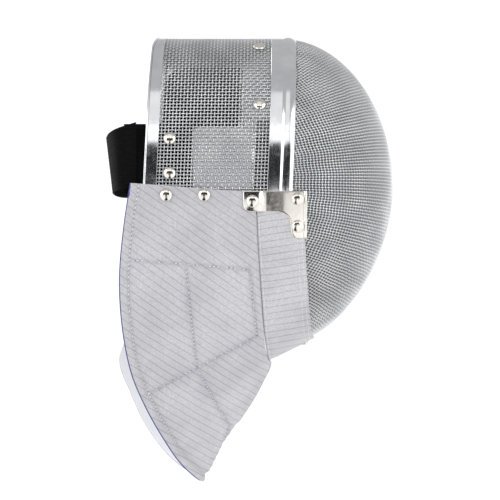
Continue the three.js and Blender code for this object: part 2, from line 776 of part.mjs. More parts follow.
// [radius, height] corners of a rivet and of the room that it needs in the walls.
function rivetProfile(radius, seat, inside) {
  return [
    [0, seat + headHeight],
    [radius * headShoulder.out, seat + headHeight * headShoulder.up],
    [radius, seat],
    [shankRadius, seat],
    [shankRadius, inside],
    [tailRadius, inside],
    [tailRadius, inside - tailThickness],
    [0, inside - tailThickness],
  ];
}

function rivetRoom(seat, inside) {
  const bore = (shankRadius + shankClearance) / Math.cos(Math.PI / holeSides);
  const pocket = (tailRadius + tailClearance) / Math.cos(Math.PI / holeSides);
  return [
    [0, seat + headHeight],
    [bore, seat + headHeight],
    [bore, inside + gap / 2],
    [pocket, inside + gap / 2],
    [pocket, inside - tailThickness - tailClearance],
    [0, inside - tailThickness - tailClearance],
  ];
}

const cut = new Map(); // wall name to its solid with the holes so far
function cutWall(name, room) {
  const solid = cut.get(name) ?? solidOf(pieces.get(name).geometry);
  cut.set(name, solid.subtract(solidOf(room)));
}

function addRivet(name, { x, angle, radius, seat, inside, walls }) {
  const tail = inside - gap;
  const room = turned(rivetRoom(seat, tail), holeSides, x, angle);
  walls.forEach((wallName) => cutWall(wallName, room));
  const geometry = turned(rivetProfile(radius, seat + gap, tail), rivetSides, x, angle);
  pieces.set(name, { geometry, material: "nickel" });
}

for (const { name, x, angle, seat, inside = -meshThickness, walls } of rivetRows) {
  for (const { side, sign } of sides) {
    addRivet(`${name}_${side}`, {
      x,
      angle: sign * angle,
      radius: headRadius,
      seat: walls.includes("bib") ? seat + lift(x - headRadius) : seat,
      inside,
      walls: walls.map((wallName) => (pieces.has(wallName) ? wallName : `${wallName}_${side}`)),
    });
  }
}
addRivet("chin_rivet", {
  x: bibJointX(180) + seamGap / 2 + chinStripWidth - chinRivetInset,
  angle: 180,
  radius: chinHeadRadius,
  seat: chinStripGap + chinStripThickness,
  inside: -meshThickness,
  walls: ["face_mesh", "chin_strip"],
});
cut.forEach((solid, name) => {
  pieces.get(name).geometry = geometryFrom(solid);
});

const mask = new THREE.Group();
pieces.forEach(({ geometry, material }, name) => {
  const mesh = new THREE.Mesh(geometry, materials[material]);
  mesh.name = name;
  mask.add(mesh);
});

export default mask;
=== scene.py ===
# A fencing mask with a quilted bib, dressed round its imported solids.
# Lengths in the settings are millimetres and angles are degrees; mm turns them into metres.
import math

import bmesh
import bpy
import numpy as np
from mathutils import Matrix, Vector
from mathutils.geometry import delaunay_2d_cdt


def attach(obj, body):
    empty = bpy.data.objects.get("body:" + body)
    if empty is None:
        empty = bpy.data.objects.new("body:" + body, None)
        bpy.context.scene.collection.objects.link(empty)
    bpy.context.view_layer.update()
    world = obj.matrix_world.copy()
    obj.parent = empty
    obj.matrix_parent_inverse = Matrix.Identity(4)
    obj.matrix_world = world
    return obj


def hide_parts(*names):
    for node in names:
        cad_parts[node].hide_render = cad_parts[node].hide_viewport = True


mm = 0.001
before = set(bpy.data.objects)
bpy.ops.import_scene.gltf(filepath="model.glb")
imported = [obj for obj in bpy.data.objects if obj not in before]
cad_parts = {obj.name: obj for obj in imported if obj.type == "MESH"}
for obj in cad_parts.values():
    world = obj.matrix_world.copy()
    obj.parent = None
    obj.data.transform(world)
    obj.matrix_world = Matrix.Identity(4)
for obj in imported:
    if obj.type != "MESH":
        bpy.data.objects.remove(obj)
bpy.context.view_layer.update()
print("frame loaded:", len(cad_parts), "nodes")


# Numbers

def smooth(value, low, high):
    share = np.clip((np.asarray(value, float) - low) / (high - low), 0, 1)
    return share * share * (3 - 2 * share)


def between(a, b, share):
    return a + (b - a) * share


def bell(distance, width):
    return np.exp(-((distance / width) ** 2))


def size(vectors):
    return np.linalg.norm(vectors, axis=-1)


def unit(vectors):
    return vectors / np.maximum(size(vectors)[..., None], 1e-9)


def runAlong(points):
    # How far along a line each of its points lies.
    return np.concatenate([[0], np.cumsum(size(np.diff(points, axis=0)))])


# The shell that every piece follows: an arch seen from the front, carried along X by a face curve.
# An angle is measured from the crown, positive towards the wearer's left, and 180 is the chin.
shell = {
    "gap": 0.3,
    "thickness": 2,
    "crownPad": 13.7,
    "halfWidth": 97,
    "crownRise": 137,
    "chinDrop": 143.5,
    "archPower": 2.2,
    "centreX": 60,
    "depth": 103,
    "crownPower": 2,
    "chinPower": 1.8,
    "jawTangent": 27,
    "jawStart": 105,
    "rimTopX": -55,
    "seamTopX": 62,
    "setback": 4.5,
    "sideMeshEnd": 104,
}
shell["axisZ"] = shell["crownPad"] + shell["gap"] + shell["thickness"] - shell["crownRise"]


def fold(angle):
    turn = np.abs(angle)
    return np.minimum(turn, 360 - turn)


def riseOf(up):
    return np.where(up > 0, shell["crownRise"], shell["chinDrop"])


def archRadius(angle):
    up, out = np.cos(np.radians(angle)), np.sin(np.radians(angle))
    power = shell["archPower"]
    return (np.abs(out / shell["halfWidth"]) ** power + np.abs(up / riseOf(up)) ** power) ** (-1 / power)


def jawOf(angle):
    jaw = smooth(fold(angle), shell["jawStart"], 180)
    return jaw, between(shell["crownPower"], shell["chinPower"], jaw)


def profileShare(x, angle):
    jaw, power = jawOf(angle)
    tangent = shell["jawTangent"] * jaw / shell["depth"]
    ahead = (np.asarray(x, float) - shell["centreX"]) / shell["depth"]
    curve = (1 - np.clip(ahead, 0, 1) ** power) ** (1 / power)
    atTangent = (1 - tangent**power) ** (1 / power)
    slope = np.maximum(tangent, 1e-9) ** (power - 1) * atTangent ** (1 - power)
    return np.where(ahead >= tangent, curve, atTangent + slope * (tangent - ahead))


def aroundAxis(x, radius, angle):
    turn = np.radians(angle)
    return np.stack([x, radius * np.sin(turn), shell["axisZ"] + radius * np.cos(turn)], -1)


def wall(x, angle):
    x, angle = np.broadcast_arrays(np.asarray(x, float), np.asarray(angle, float))
    return aroundAxis(x, archRadius(angle) * profileShare(x, angle), angle)


def outwards(normal, point):
    # Turns normals away from the inside of the mask.
    outward = np.sum(normal * (point - [0, 0, shell["axisZ"]]), -1, keepdims=True)
    return np.where(outward < 0, -normal, normal)


def raised(surface, u, v, height, step=0.02):
    alongU = surface(u + step, v) - surface(u - step, v)
    alongV = surface(u, v + step) - surface(u, v - step)
    point = surface(u, v)
    return point + outwards(unit(np.cross(alongU, alongV)), point) * np.asarray(height)[..., None]


def onWall(x, angle, height):
    return raised(wall, np.asarray(x, float), np.asarray(angle, float), np.asarray(height, float))


def angleAtHeight(z):
    up = np.asarray(z, float) - shell["axisZ"]
    power = shell["archPower"]
    out = shell["halfWidth"] * (1 - np.abs(up / riseOf(up)) ** power) ** (1 / power)
    return np.degrees(np.arctan2(out, up))


def setback(angle):
    return shell["setback"] * (1 - np.cos(np.radians(np.minimum(fold(angle), 90))))


def rimX(angle):
    return shell["rimTopX"] - setback(angle)


def jointX(angle):
    return shell["seamTopX"] - setback(angle)


def arcAngles(start, end, pitch):
    # Angles a pitch apart along the arch, counted from the crown.
    fine = np.linspace(start, end, 4000)
    run = runAlong(wall(0, fine)[:, 1:])
    crown = np.interp(0, fine, run)
    first, last = math.ceil(-crown / pitch), math.floor((run[-1] - crown) / pitch)
    return np.interp(crown + np.arange(first, last + 1) * pitch, run, fine)


# Meshes: points in millimetres, and faces

def placed(name, data):
    made = bpy.data.objects.new(name, data)
    bpy.context.scene.collection.objects.link(made)
    return made


def creased(piece, degrees):
    # Keeps true edges crisp and turns faces outwards.
    work = bmesh.new()
    work.from_mesh(piece.data)
    bmesh.ops.remove_doubles(work, verts=work.verts, dist=2e-6)
    bmesh.ops.recalc_face_normals(work, faces=work.faces)
    for edge in work.edges:
        edge.smooth = len(edge.link_faces) == 2 and edge.calc_face_angle(0) < math.radians(degrees)
    work.to_mesh(piece.data)
    work.free()


def makePiece(name, mesh, look, node=None, crease=None):
    points, faces = mesh
    data = bpy.data.meshes.new(name)
    data.from_pydata((np.asarray(points, float) * mm).tolist(), [], [tuple(map(int, face)) for face in faces])
    data.polygons.foreach_set("use_smooth", [True] * len(data.polygons))
    data.materials.append(looks[look])
    piece = placed(name, data)
    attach(piece, "root")
    if node:
        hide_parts(node)
    if crease:
        creased(piece, crease)
    return piece


def marked(piece, name, values):
    # Gives each point of a piece a number that its material reads.
    layer = piece.data.attributes.new(name, "FLOAT", "POINT")
    layer.data.foreach_set("value", np.asarray(values, np.float32).ravel())


def gridFaces(rows, columns, closed=False):
    # Quads over a grid of points numbered row by row.
    i, j = np.meshgrid(np.arange(rows - 1), np.arange(columns if closed else columns - 1), indexing="ij")
    after = (j + 1) % columns
    here, ahead = i * columns, (i + 1) * columns
    return np.stack([here + j, ahead + j, ahead + after, here + after], -1).reshape(-1, 4)


def slab(inner, outer):
    # A closed sheet between two grids of points of the same shape.
    rows, columns = outer.shape[:2]
    points = np.concatenate([outer.reshape(-1, 3), inner.reshape(-1, 3)])
    top = gridFaces(rows, columns)
    under = rows * columns
    rim = np.concatenate([
        np.arange(columns),
        np.arange(1, rows) * columns + columns - 1,
        (rows - 1) * columns + np.arange(columns - 2, -1, -1),
        np.arange(rows - 2, 0, -1) * columns,
    ])
    after = np.roll(rim, -1)
    sides = np.stack([rim, after, after + under, rim + under], -1)
    return points, np.concatenate([top, top[:, ::-1] + under, sides])


def swept(sections):
    # A closed bar through sections, an array of section, corner and place.
    rows, columns = sections.shape[:2]
    faces = gridFaces(rows, columns, closed=True).tolist()
    faces += [list(range(columns))[::-1], list(range((rows - 1) * columns, rows * columns))]
    return sections.reshape(-1, 3), faces


def joined(bars):
    # One mesh of many closed bars.
    points, faces, count = [], [], 0
    for sections in bars:
        found, sides = swept(sections)
        points.append(found)
        faces += [[count + k for k in face] for face in sides]
        count += len(found)
    return np.concatenate(points), faces


def circles(centres, across, up, radius, sides):
    # A ring of points round each centre.
    turn = np.arange(sides) * 2 * math.pi / sides
    cosine, sine = np.cos(turn)[None, :, None], np.sin(turn)[None, :, None]
    return centres[:, None] + (across[:, None] * cosine + up[:, None] * sine) * radius


def insideOutline(points, outline):
    x, y = points[:, 0:1], points[:, 1:2]
    ax, ay = outline[:, 0], outline[:, 1]
    bx, by = np.roll(ax, -1), np.roll(ay, -1)
    slope = (bx - ax) / np.where(by == ay, 1e-12, by - ay)
    crossed = ((ay > y) != (by > y)) & (x < ax + slope * (y - ay))
    return crossed.sum(1) % 2 == 1


def outlineDistance(points, outline):
    along = np.roll(outline, -1, 0) - outline
    reach = points[:, None] - outline[None]
    share = np.clip((reach * along).sum(-1) / np.maximum((along**2).sum(-1), 1e-12), 0, 1)
    return size(reach - share[..., None] * along).min(1)


def resampled(corners, pitch):
    # A closed outline with its corners kept and points about a pitch apart.
    corners = np.asarray(corners, float)
    made = []
    for a, b in zip(corners, np.roll(corners, -1, 0)):
        count = max(1, int(np.ceil(size(b - a) / pitch)))
        made += [a + (b - a) * k / count for k in range(count)]
    return np.array(made)


def curve(start, control, end, steps=9):
    t = np.linspace(0, 1, steps)[:, None]
    start, control, end = (np.array(p, float) for p in (start, control, end))
    return ((1 - t) ** 2 * start + 2 * t * (1 - t) * control + t**2 * end).tolist()


def rounded(corners, radius, steps=6):
    # The outline with each corner turned by an arc. radius is one value or one for each corner.
    corners = np.asarray(corners, float)
    made = []
    for k, (corner, reach) in enumerate(zip(corners, np.broadcast_to(radius, len(corners)))):
        before, after = corners[k - 1], corners[(k + 1) % len(corners)]
        start, end = corner + unit(before - corner) * reach, corner + unit(after - corner) * reach
        made += curve(start, corner, end, steps if reach > 0 else 1)
    return np.array(made)


def patch(outline, pitch, place, top, under, insets):
    # A closed solid over a flat outline. place maps flat points and a height to the mask,
    # and top and under give the heights for flat points and their distance from the outline.
    edge = resampled(outline, pitch)
    low, high = edge.min(0), edge.max(0)
    grid = np.stack(np.meshgrid(*[np.arange(low[k], high[k], pitch) for k in (0, 1)]), -1).reshape(-1, 2)
    area = 0.5 * np.sum(edge[:, 0] * np.roll(edge[:, 1], -1) - np.roll(edge[:, 0], -1) * edge[:, 1])
    along = unit(np.roll(edge, -1, 0) - np.roll(edge, 1, 0))
    inward = np.stack([-along[:, 1], along[:, 0]], -1) * np.sign(area)
    flat = [edge]
    for points, margin in (
        (grid, max(insets) + 0.6 * pitch),
        *((edge + inward * inset, 0.9 * inset) for inset in insets),
    ):
        flat.append(points[insideOutline(points, edge) & (outlineDistance(points, edge) > margin)])
    loop = [(k, (k + 1) % len(edge)) for k in range(len(edge))]
    found = delaunay_2d_cdt([Vector(p) for p in np.concatenate(flat)], loop, [], 1, 1e-6)
    flat, triangles = np.array([tuple(p) for p in found[0]]), [tuple(t) for t in found[2]]
    distance = outlineDistance(flat, edge)
    count = len(flat)
    faces = triangles + [tuple(count + k for k in reversed(t)) for t in triangles]
    sides = {pair for t in triangles for pair in ((t[0], t[1]), (t[1], t[2]), (t[2], t[0]))}
    faces += [(b, a, count + a, count + b) for a, b in sorted(sides) if (b, a) not in sides]
    return np.concatenate([place(flat, height(flat, distance)) for height in (top, under)]), faces


print("helpers ready")


# Materials

# A shader socket that takes part in Python sums.
class Sock:
    def __init__(self, graph, socket):
        self.graph, self.socket = graph, socket

    def math(self, operation, *others):
        return self.graph.node("ShaderNodeMath", {"operation": operation}, [self, *others])

    def __add__(self, other):
        return self.math("ADD", other)

    def __sub__(self, other):
        return self.math("SUBTRACT", other)

    def __mul__(self, other):
        return self.math("MULTIPLY", other)

    def __truediv__(self, other):
        return self.math("DIVIDE", other)

    def __rsub__(self, other):
        return self.graph.node("ShaderNodeMath", {"operation": "SUBTRACT"}, [other, self])

    __radd__ = __add__
    __rmul__ = __mul__

    def step(self, low, high):
        # Rises smoothly from 0 at low to 1 at high.
        values = {"Value": self, "From Min": low, "From Max": high}
        return self.graph.node("ShaderNodeMapRange", {"interpolation_type": "SMOOTHSTEP"}, values)

    def line(self, width, soft=0.02):
        # 1 near each whole number, where a repeated line runs, and 0 between.
        away = (self.math("FRACT") - 0.5).math("ABSOLUTE")
        return away.step(0.5 - width - soft, 0.5 - width + soft)


shaderInputs = {
    "colour": "Base Color",
    "roughness": "Roughness",
    "metallic": "Metallic",
    "normal": "Normal",
    "sheen": "Sheen Weight",
    "sheenRoughness": "Sheen Roughness",
    "specular": "Specular IOR Level",
    "alpha": "Alpha",
    "glow": "Emission Color",
    "glowStrength": "Emission Strength",
}


# A material's nodes.
class Graph:
    def __init__(self, name):
        self.material = bpy.data.materials.new(name)
        self.material.use_nodes = True
        self.tree = self.material.node_tree
        self.tree.nodes.clear()

    def node(self, kind, settings=None, inputs=None, output=0):
        made = self.tree.nodes.new(kind)
        for key, value in (settings or {}).items():
            setattr(made, key, value)
        for key, value in inputs.items() if isinstance(inputs, dict) else enumerate(inputs or []):
            if isinstance(value, Sock):
                self.tree.links.new(value.socket, made.inputs[key])
            else:
                made.inputs[key].default_value = value
        return Sock(self, made.outputs[output]) if len(made.outputs) else None

    def place(self):
        # The point on the mask, in metres, as a vector and as its three values.
        where = self.node("ShaderNodeTexCoord", output="Object")
        split = self.tree.nodes.new("ShaderNodeSeparateXYZ")
        self.tree.links.new(where.socket, split.inputs[0])
        return [where, *[Sock(self, split.outputs[k]) for k in range(3)]]

    def mark(self, name):
        return self.node("ShaderNodeAttribute", {"attribute_name": name}, output=2)

    def noise(self, where, scale, detail=3, roughness=0.55):
        values = {"Vector": where, "Scale": scale, "Detail": detail, "Roughness": roughness}
        return self.node("ShaderNodeTexNoise", inputs=values)

    def drawn(self, x, y, z, detail):
        # Noise stretched along the axis with the smallest scale.
        return self.noise(self.node("ShaderNodeCombineXYZ", inputs=[x, y, z]), 1, detail)

    def blend(self, share, first, second):
        # Mixes two colours, each a plain tuple or a socket.
        colours = [c if isinstance(c, Sock) else (*c, 1) for c in (first, second)]
        values = {0: share, 6: colours[0], 7: colours[1]}
        return self.node("ShaderNodeMix", {"data_type": "RGBA"}, values, output=2)

    def bump(self, height, strength, distance):
        values = {"Strength": strength, "Distance": distance, "Height": height}
        return self.node("ShaderNodeBump", inputs=values)

    def finish(self, **values):
        inputs = {shaderInputs[key]: value for key, value in values.items()}
        shader = self.node("ShaderNodeBsdfPrincipled", inputs=inputs)
        self.node("ShaderNodeOutputMaterial", inputs={"Surface": shader})
        return self.material


def wireMetal():
    # Bright where the wires stand out, and painted shade down between them and inside, where light does not
    # reach.
    graph = Graph("stainless_wire")
    where = graph.place()[0]
    crestShade = graph.mark("crestShade")
    tarnish = graph.noise(where, 45, 2)
    fine = graph.noise(where, 900, 2)
    bright = graph.blend(tarnish.step(0.35, 0.7), (0.80, 0.81, 0.82), (0.96, 0.965, 0.97))
    # Painted shade: nearly black low on the wires and on their inner sides.
    colour = graph.blend(crestShade, (0.025, 0.026, 0.03), bright)
    return graph.finish(colour=colour, roughness=0.34 + fine * 0.12 - crestShade * 0.10, metallic=1.0)


def shadeBetweenWires():
    # Painted shade: a nearly black, half clear sheet standing for the shade inside the weave.
    graph = Graph("weave_shade")
    cloud = graph.noise(graph.place()[0], 60, 2)
    colour = graph.blend(cloud, (0.012, 0.012, 0.014), (0.03, 0.03, 0.034))
    return graph.finish(colour=colour, roughness=0.9, specular=0.05, alpha=0.68 + cloud * 0.16)


def stripMetal():
    graph = Graph("polished_steel_strip")
    where, x, y, z = graph.place()
    rolled = graph.drawn(x * 1500, y * 25, z * 25, 3)
    wide = graph.noise(where, 35, 2)
    smudge = graph.noise(where, 160, 4)
    colour = graph.blend(wide.step(0.3, 0.7), (0.72, 0.73, 0.75), (0.84, 0.845, 0.85))
    rough = 0.07 + rolled * 0.09 + smudge.step(0.45, 0.75) * 0.09
    return graph.finish(colour=colour, roughness=rough, metallic=1.0, normal=graph.bump(rolled, 0.05, 0.0002))


def nickelMetal():
    graph = Graph("polished_nickel")
    where, x, y, z = graph.place()
    cloud = graph.noise(where, 120, 3)
    scratch = graph.drawn(x * 300, y * 300, z * 2600, 2)
    colour = graph.blend(cloud.step(0.35, 0.7), (0.76, 0.72, 0.66), (0.86, 0.83, 0.77))
    rough = 0.10 + cloud.step(0.4, 0.8) * 0.10 + scratch * 0.05
    return graph.finish(colour=colour, roughness=rough, metallic=1.0, normal=graph.bump(cloud, 0.08, 0.0004))


stripes = {
    "width": 0.045,
    "ink": (0.15, 0.15, 0.165),
    "cloth": (0.461, 0.454, 0.466),
    "clothLight": (0.611, 0.604, 0.616),
    "shade": (0.376, 0.371, 0.39),
    # the colour of the painted shade along the seams and near the top
    "seam": (0.28, 0.28, 0.31),
    "thread": 0.95,
}


def lameCloth(name, tilt, pitch):
    # Grey cloth woven with metal thread. tilt is the slope of its dark stripes in the side view, in degrees.
    graph = Graph(name)
    where, x, y, z = graph.place()
    turn = math.radians(tilt)
    across = (z * math.cos(turn) + x * math.sin(turn)) / (pitch * mm)
    along = (x * math.cos(turn) - z * math.sin(turn)) / mm
    drift = graph.noise(where, 14, 2)
    dashes = (along / 1.1 + drift * 3).line(0.36, 0.12)
    stripe = (across + drift * 0.55).line(stripes["width"]) * (0.45 + dashes * 0.55)
    warp = (along / stripes["thread"]).line(0.22, 0.15)
    weft = (across * pitch / stripes["thread"]).line(0.22, 0.15)
    grain = graph.noise(where, 620, 3, 0.7)
    cloud = graph.noise(where, 30, 3)
    base = graph.blend(grain.step(0.3, 0.72), stripes["cloth"], stripes["clothLight"])
    shaded = graph.blend(cloud.step(0.3, 0.75) * 0.45, base, stripes["shade"])
    # Painted shade along the seams and near the top, read from the seam mark.
    seamShade = graph.blend(graph.mark("seam") * 0.6, shaded, stripes["seam"])
    height = (warp * 0.5 + weft * 0.5) * 0.6 + grain * 0.6
    return graph.finish(
        colour=graph.blend(stripe * (0.35 + cloud * 0.7), seamShade, stripes["ink"]),
        roughness=0.50 + grain * 0.22,
        metallic=0.18 - stripe * 0.12,
        normal=graph.bump(height, 0.30, 0.0003),
        sheen=0.15,
        sheenRoughness=0.4,
    )


def softFibre(graph, where):
    # Fine fuzz, and the fuzz mixed with wide clouds.
    fuzz = graph.noise(where, 700, 4, 0.7)
    return fuzz, fuzz * 0.6 + graph.noise(where, 40, 3) * 0.4


def plainCloth(name, dark, light, thread, strength, roughness, sheen=0.2, specular=0.5):
    # A woven or brushed cloth between two colours. thread is the pitch of its threads in millimetres.
    graph = Graph(name)
    where, x, y, z = graph.place()
    warp = (x / (thread * mm)).line(0.2, 0.2)
    weft = (z / (thread * mm)).line(0.2, 0.2)
    fuzz, soft = softFibre(graph, where)
    return graph.finish(
        colour=graph.blend(soft, dark, light),
        roughness=roughness,
        normal=graph.bump((warp + weft) * 0.5 + fuzz * 0.7, strength, 0.0004),
        sheen=sheen,
        sheenRoughness=0.5,
        specular=specular,
    )


def ribbedWebbing():
    graph = Graph("black_webbing")
    where, x, y, z = graph.place()
    ribs = (z / (1.9 * mm)).line(0.26, 0.12)
    threads = ((x + y) / (0.8 * mm)).line(0.26, 0.16)
    fuzz = graph.noise(where, 800, 4, 0.7)
    return graph.finish(
        colour=graph.blend(ribs * 0.6 + fuzz * 0.4, (0.0015, 0.0015, 0.0018), (0.006, 0.006, 0.0065)),
        roughness=0.82,
        normal=graph.bump(ribs * 0.7 + threads * 0.3 + fuzz * 0.3, 0.6, 0.0006),
        sheen=0.015,
        sheenRoughness=0.4,
        specular=0.06,
    )


def crownCloth():
    # A pale pad with painted shade making it grey over the crown, and white on the legs that run down beside
    # the strips.
    graph = Graph("crown_padding")
    where, x, y, z = graph.place()
    fuzz, soft = softFibre(graph, where)
    # Painted shade over the crown.
    crownShade = graph.blend(soft, (0.10, 0.10, 0.11), (0.20, 0.20, 0.215))
    white = graph.blend(soft, (0.72, 0.73, 0.75), (0.92, 0.93, 0.95))
    leg = (x.math("MAXIMUM", 0) * 0.5 - z).step(0.020, 0.034)
    normal = graph.bump(fuzz, 0.5, 0.0004)
    return graph.finish(colour=graph.blend(leg, crownShade, white), roughness=0.95, normal=normal, sheen=0.1)


darkPadding = (1.6, 0.5, 0.95, 0.03, 0.06)  # thread, bump, roughness, sheen and shine
looks = {
    "wire": wireMetal(),
    "shade": shadeBetweenWires(),
    "strip": stripMetal(),
    "nickel": nickelMetal(),
    "bib": lameCloth("silver_cloth_side", 35, 5.9),
    "chin": lameCloth("silver_cloth_chin", -8, 5.6),
    "lining": plainCloth("white_lining", (0.74, 0.745, 0.77), (0.865, 0.87, 0.89), 0.7, 0.3, 0.85),
    "binding": plainCloth("blue_binding", (0.015, 0.025, 0.16), (0.045, 0.065, 0.30), 0.6, 0.4, 0.75),
    "webbing": ribbedWebbing(),
    "palePad": plainCloth("pale_padding", (0.80, 0.81, 0.83), (0.94, 0.95, 0.97), 1.6, 0.5, 0.95),
    "crownPad": crownCloth(),
    "darkPad": plainCloth("dark_padding", (0.003, 0.003, 0.005), (0.012, 0.012, 0.016), *darkPadding),
    "thread": plainCloth("pale_thread", (0.74, 0.74, 0.76), (0.90, 0.90, 0.92), 0.3, 0.4, 0.6),
    # Dark rods in the needle holes between stitches: painted shade in the holes.
    "holeShade": plainCloth("needle_holes", (0.06, 0.06, 0.07), (0.13, 0.13, 0.14), 0.3, 0.4, 0.9),
}
print("materials ready:", len(looks))


# Woven wire

weave = {
    "pitch": 3.0,
    "wire": 1.22,
    "wave": 0.5,  # how far a wire bends to each side of the middle
    "shade": -1.7,  # height of the half clear sheet of painted shade behind the wires
    "sides": 4,
    "crestShade": (-1.5, -0.45),  # heights between which the painted shade on the wire turns from dark to bright
    "across": 64,  # wires each side of the middle of the face
    "up": 72,
    "down": 80,
    "rounds": (150, 60, 20),  # settling rounds at 4, 2 and 1 times the pitch
    "evening": 20,  # rounds that spread what is left of any kink
    "shear": 0.02,  # how stiffly the squares resist turning into diamonds
    "pull": 0.45,  # share of its move that a crossing makes in a settling round
    "ease": 0.7,  # and in an evening round
    "sideRows": 40,  # wires across the side mesh, counted back from the joint
    "margin": 1.4,  # from the rim to the nearest crossing
    "bareX": 35,  # the side mesh has no pad behind it ahead of here
    "bareAngle": 57,  # and below here
    "sideSpread": 100,  # rough distance round a quarter of the dome, over half pi, sideways
    "upSpread": 121,  # and upwards
}


def onShell(points):
    # Brings points near the shell onto it: away from the dome's middle ahead, away from the face axis behind.
    x, y, z = points[..., 0], points[..., 1], points[..., 2] - shell["axisZ"]
    angle = np.degrees(np.arctan2(y, z))
    radius = np.maximum(np.hypot(y, z), 1e-6)
    power = jawOf(angle)[1]
    ahead = (x - shell["centreX"]) / shell["depth"]
    arch = archRadius(angle)
    scale = (np.maximum(ahead, 0) ** power + (radius / arch) ** power) ** (-1 / power)
    front = ahead > 0.5
    factor = np.where(front, scale, arch * profileShare(x, angle) / radius)
    newX = np.where(front, shell["centreX"] + shell["depth"] * ahead * scale, x)
    return np.stack([newX, y * factor, z * factor + shell["axisZ"]], -1)


def settled(net, pitch, rounds):
    # Pulls every wire crossing towards its neighbours until each wire keeps its pitch along the dome.
    diagonal = (pitch * math.sqrt(2), weave["shear"])
    links = [
        (np.s_[1:, :], np.s_[:-1, :], pitch, 1.0),
        (np.s_[:, 1:], np.s_[:, :-1], pitch, 1.0),
        (np.s_[1:, 1:], np.s_[:-1, :-1], *diagonal),
        (np.s_[1:, :-1], np.s_[:-1, 1:], *diagonal),
    ]
    for _ in range(rounds):
        move = np.zeros_like(net)
        for first, second, rest, weight in links:
            wire = net[first] - net[second]
            push = wire * (0.5 * weight * (1 - rest / np.maximum(size(wire)[..., None], 1e-6)))
            move[first] -= push
            move[second] += push
        net = onShell(net + move * weave["pull"])
    return net


def evened(net, rounds):
    # Moves every crossing towards the middle of its four neighbours.
    for _ in range(rounds):
        move = np.zeros_like(net)
        around = net[2:, 1:-1] + net[:-2, 1:-1] + net[1:-1, 2:] + net[1:-1, :-2]
        move[1:-1, 1:-1] = around / 4 - net[1:-1, 1:-1]
        net = onShell(net + move * weave["ease"])
    return net


def doubled(net):
    # The same net with a wire between every two.
    rows, columns = net.shape[0] * 2 - 1, net.shape[1] * 2 - 1
    made = np.zeros((rows, columns, 3))
    made[::2, ::2] = net
    made[1::2, ::2] = (net[1:] + net[:-1]) / 2
    made[:, 1::2] = (made[:, 2::2] + made[:, :-2:2]) / 2
    return onShell(made)


def faceNet():
    pitch = weave["pitch"] * 4
    s = np.arange(-weave["across"] // 4, weave["across"] // 4 + 1) * pitch
    t = np.arange(-weave["down"] // 4, weave["up"] // 4 + 1) * pitch
    s, t = np.meshgrid(s, t)
    direction = np.arctan2(s, t)
    spread = weave["sideSpread"] * np.sin(direction) ** 2 + weave["upSpread"] * np.cos(direction) ** 2
    turn = np.hypot(s, t) / spread
    bent = np.minimum(turn, math.pi / 2)
    x = shell["centreX"] + shell["depth"] * np.cos(bent) - spread * np.maximum(turn - math.pi / 2, 0)
    angle = np.degrees(direction)
    net = onShell(aroundAxis(x, archRadius(angle) * np.sin(bent), angle))
    for level, rounds in enumerate(weave["rounds"]):
        net = settled(net if level == 0 else doubled(net), pitch / 2**level, rounds)
    return evened(net, weave["evening"])


def wires(net, normals, keep, parity):
    # Wires along the rows of a net, over and under in turn. parity is true where a wire goes over.
    radius, sides = weave["wire"] / 2, weave["sides"]
    lift = radius * np.sin(np.arange(sides) * 2 * math.pi / sides)
    bars, crestShades = [], []
    for row in range(net.shape[0]):
        kept = np.flatnonzero(keep[row])
        for run in np.split(kept, np.flatnonzero(np.diff(kept) > 1) + 1):
            if len(run) < 3:
                continue
            at = (run[:, None] + [-0.25, 0.25]).ravel()[1:-1]
            low = np.floor(at).astype(int)
            part = (at - low)[:, None]
            normal = unit(between(normals[row, low], normals[row, low + 1], part))
            over = np.where(parity[row, np.round(at).astype(int)], 1, -1)[:, None]
            height = over * weave["wave"] - shell["thickness"] / 2
            centre = between(net[row, low], net[row, low + 1], part) + normal * height
            along = unit(np.gradient(centre, axis=0))
            across = unit(np.cross(normal, along))
            bars.append(circles(centre, across, np.cross(along, across), radius, sides))
            # Painted shade: each point of a wire is darker the lower it lies in the weave.
            crestShades.append(smooth(height + lift, *weave["crestShade"]).ravel())
    return joined(bars), np.concatenate(crestShades)


def wovenMesh(name, net, keep, node, bare):
    # Wires both ways, and the sheet of painted shade behind the part with no pad there, which bare marks.
    normals = outwards(unit(np.cross(np.gradient(net, axis=1), np.gradient(net, axis=0))), net)
    rows, columns = np.indices(net.shape[:2])
    grid = [net, normals, keep, (rows + columns) % 2 == 0]
    turned = [np.swapaxes(a, 0, 1) for a in (*grid[:3], ~grid[3])]
    for direction, lines in (("_across", grid), ("_along", turned)):
        mesh, crestShades = wires(*lines)
        marked(makePiece(name + direction, mesh, "wire", node), "crestShade", crestShades)
    cells = gridFaces(*net.shape[:2])
    kept = cells[(keep & bare).ravel()[cells].all(1)]
    used = np.unique(kept)
    inside = (net + normals * weave["shade"]).reshape(-1, 3)[used]
    makePiece(name + "_shade", (inside, np.searchsorted(used, kept)), "shade", node)
    print(name, "ready")


bibSizes = {
    "seamX": 38,
    "seamRun": 12,
    "seamPower": 1.5,
    "topZ": shell["axisZ"] + 1,
    "topSlope": 8,
    "length": 268,
    "reach": 80,
    "lift": 1.8,
    "liftRun": 12,
    "swing": 23,
    "liningThickness": 1,
    "thickness": 2.2,
    "fade": 5.4,
    "edgeSeam": 8,
    "binding": 1.6,
    "shown": 0.9,  # how much of the binding shows past the cloth
    "liningEdge": 0.8,  # how far short of the rim the lining stops
}


def bibSeam(angle):
    past = np.maximum(fold(angle) - shell["sideMeshEnd"], 0) / (180 - shell["sideMeshEnd"])
    return bibSizes["seamX"] + bibSizes["seamRun"] * past ** bibSizes["seamPower"]


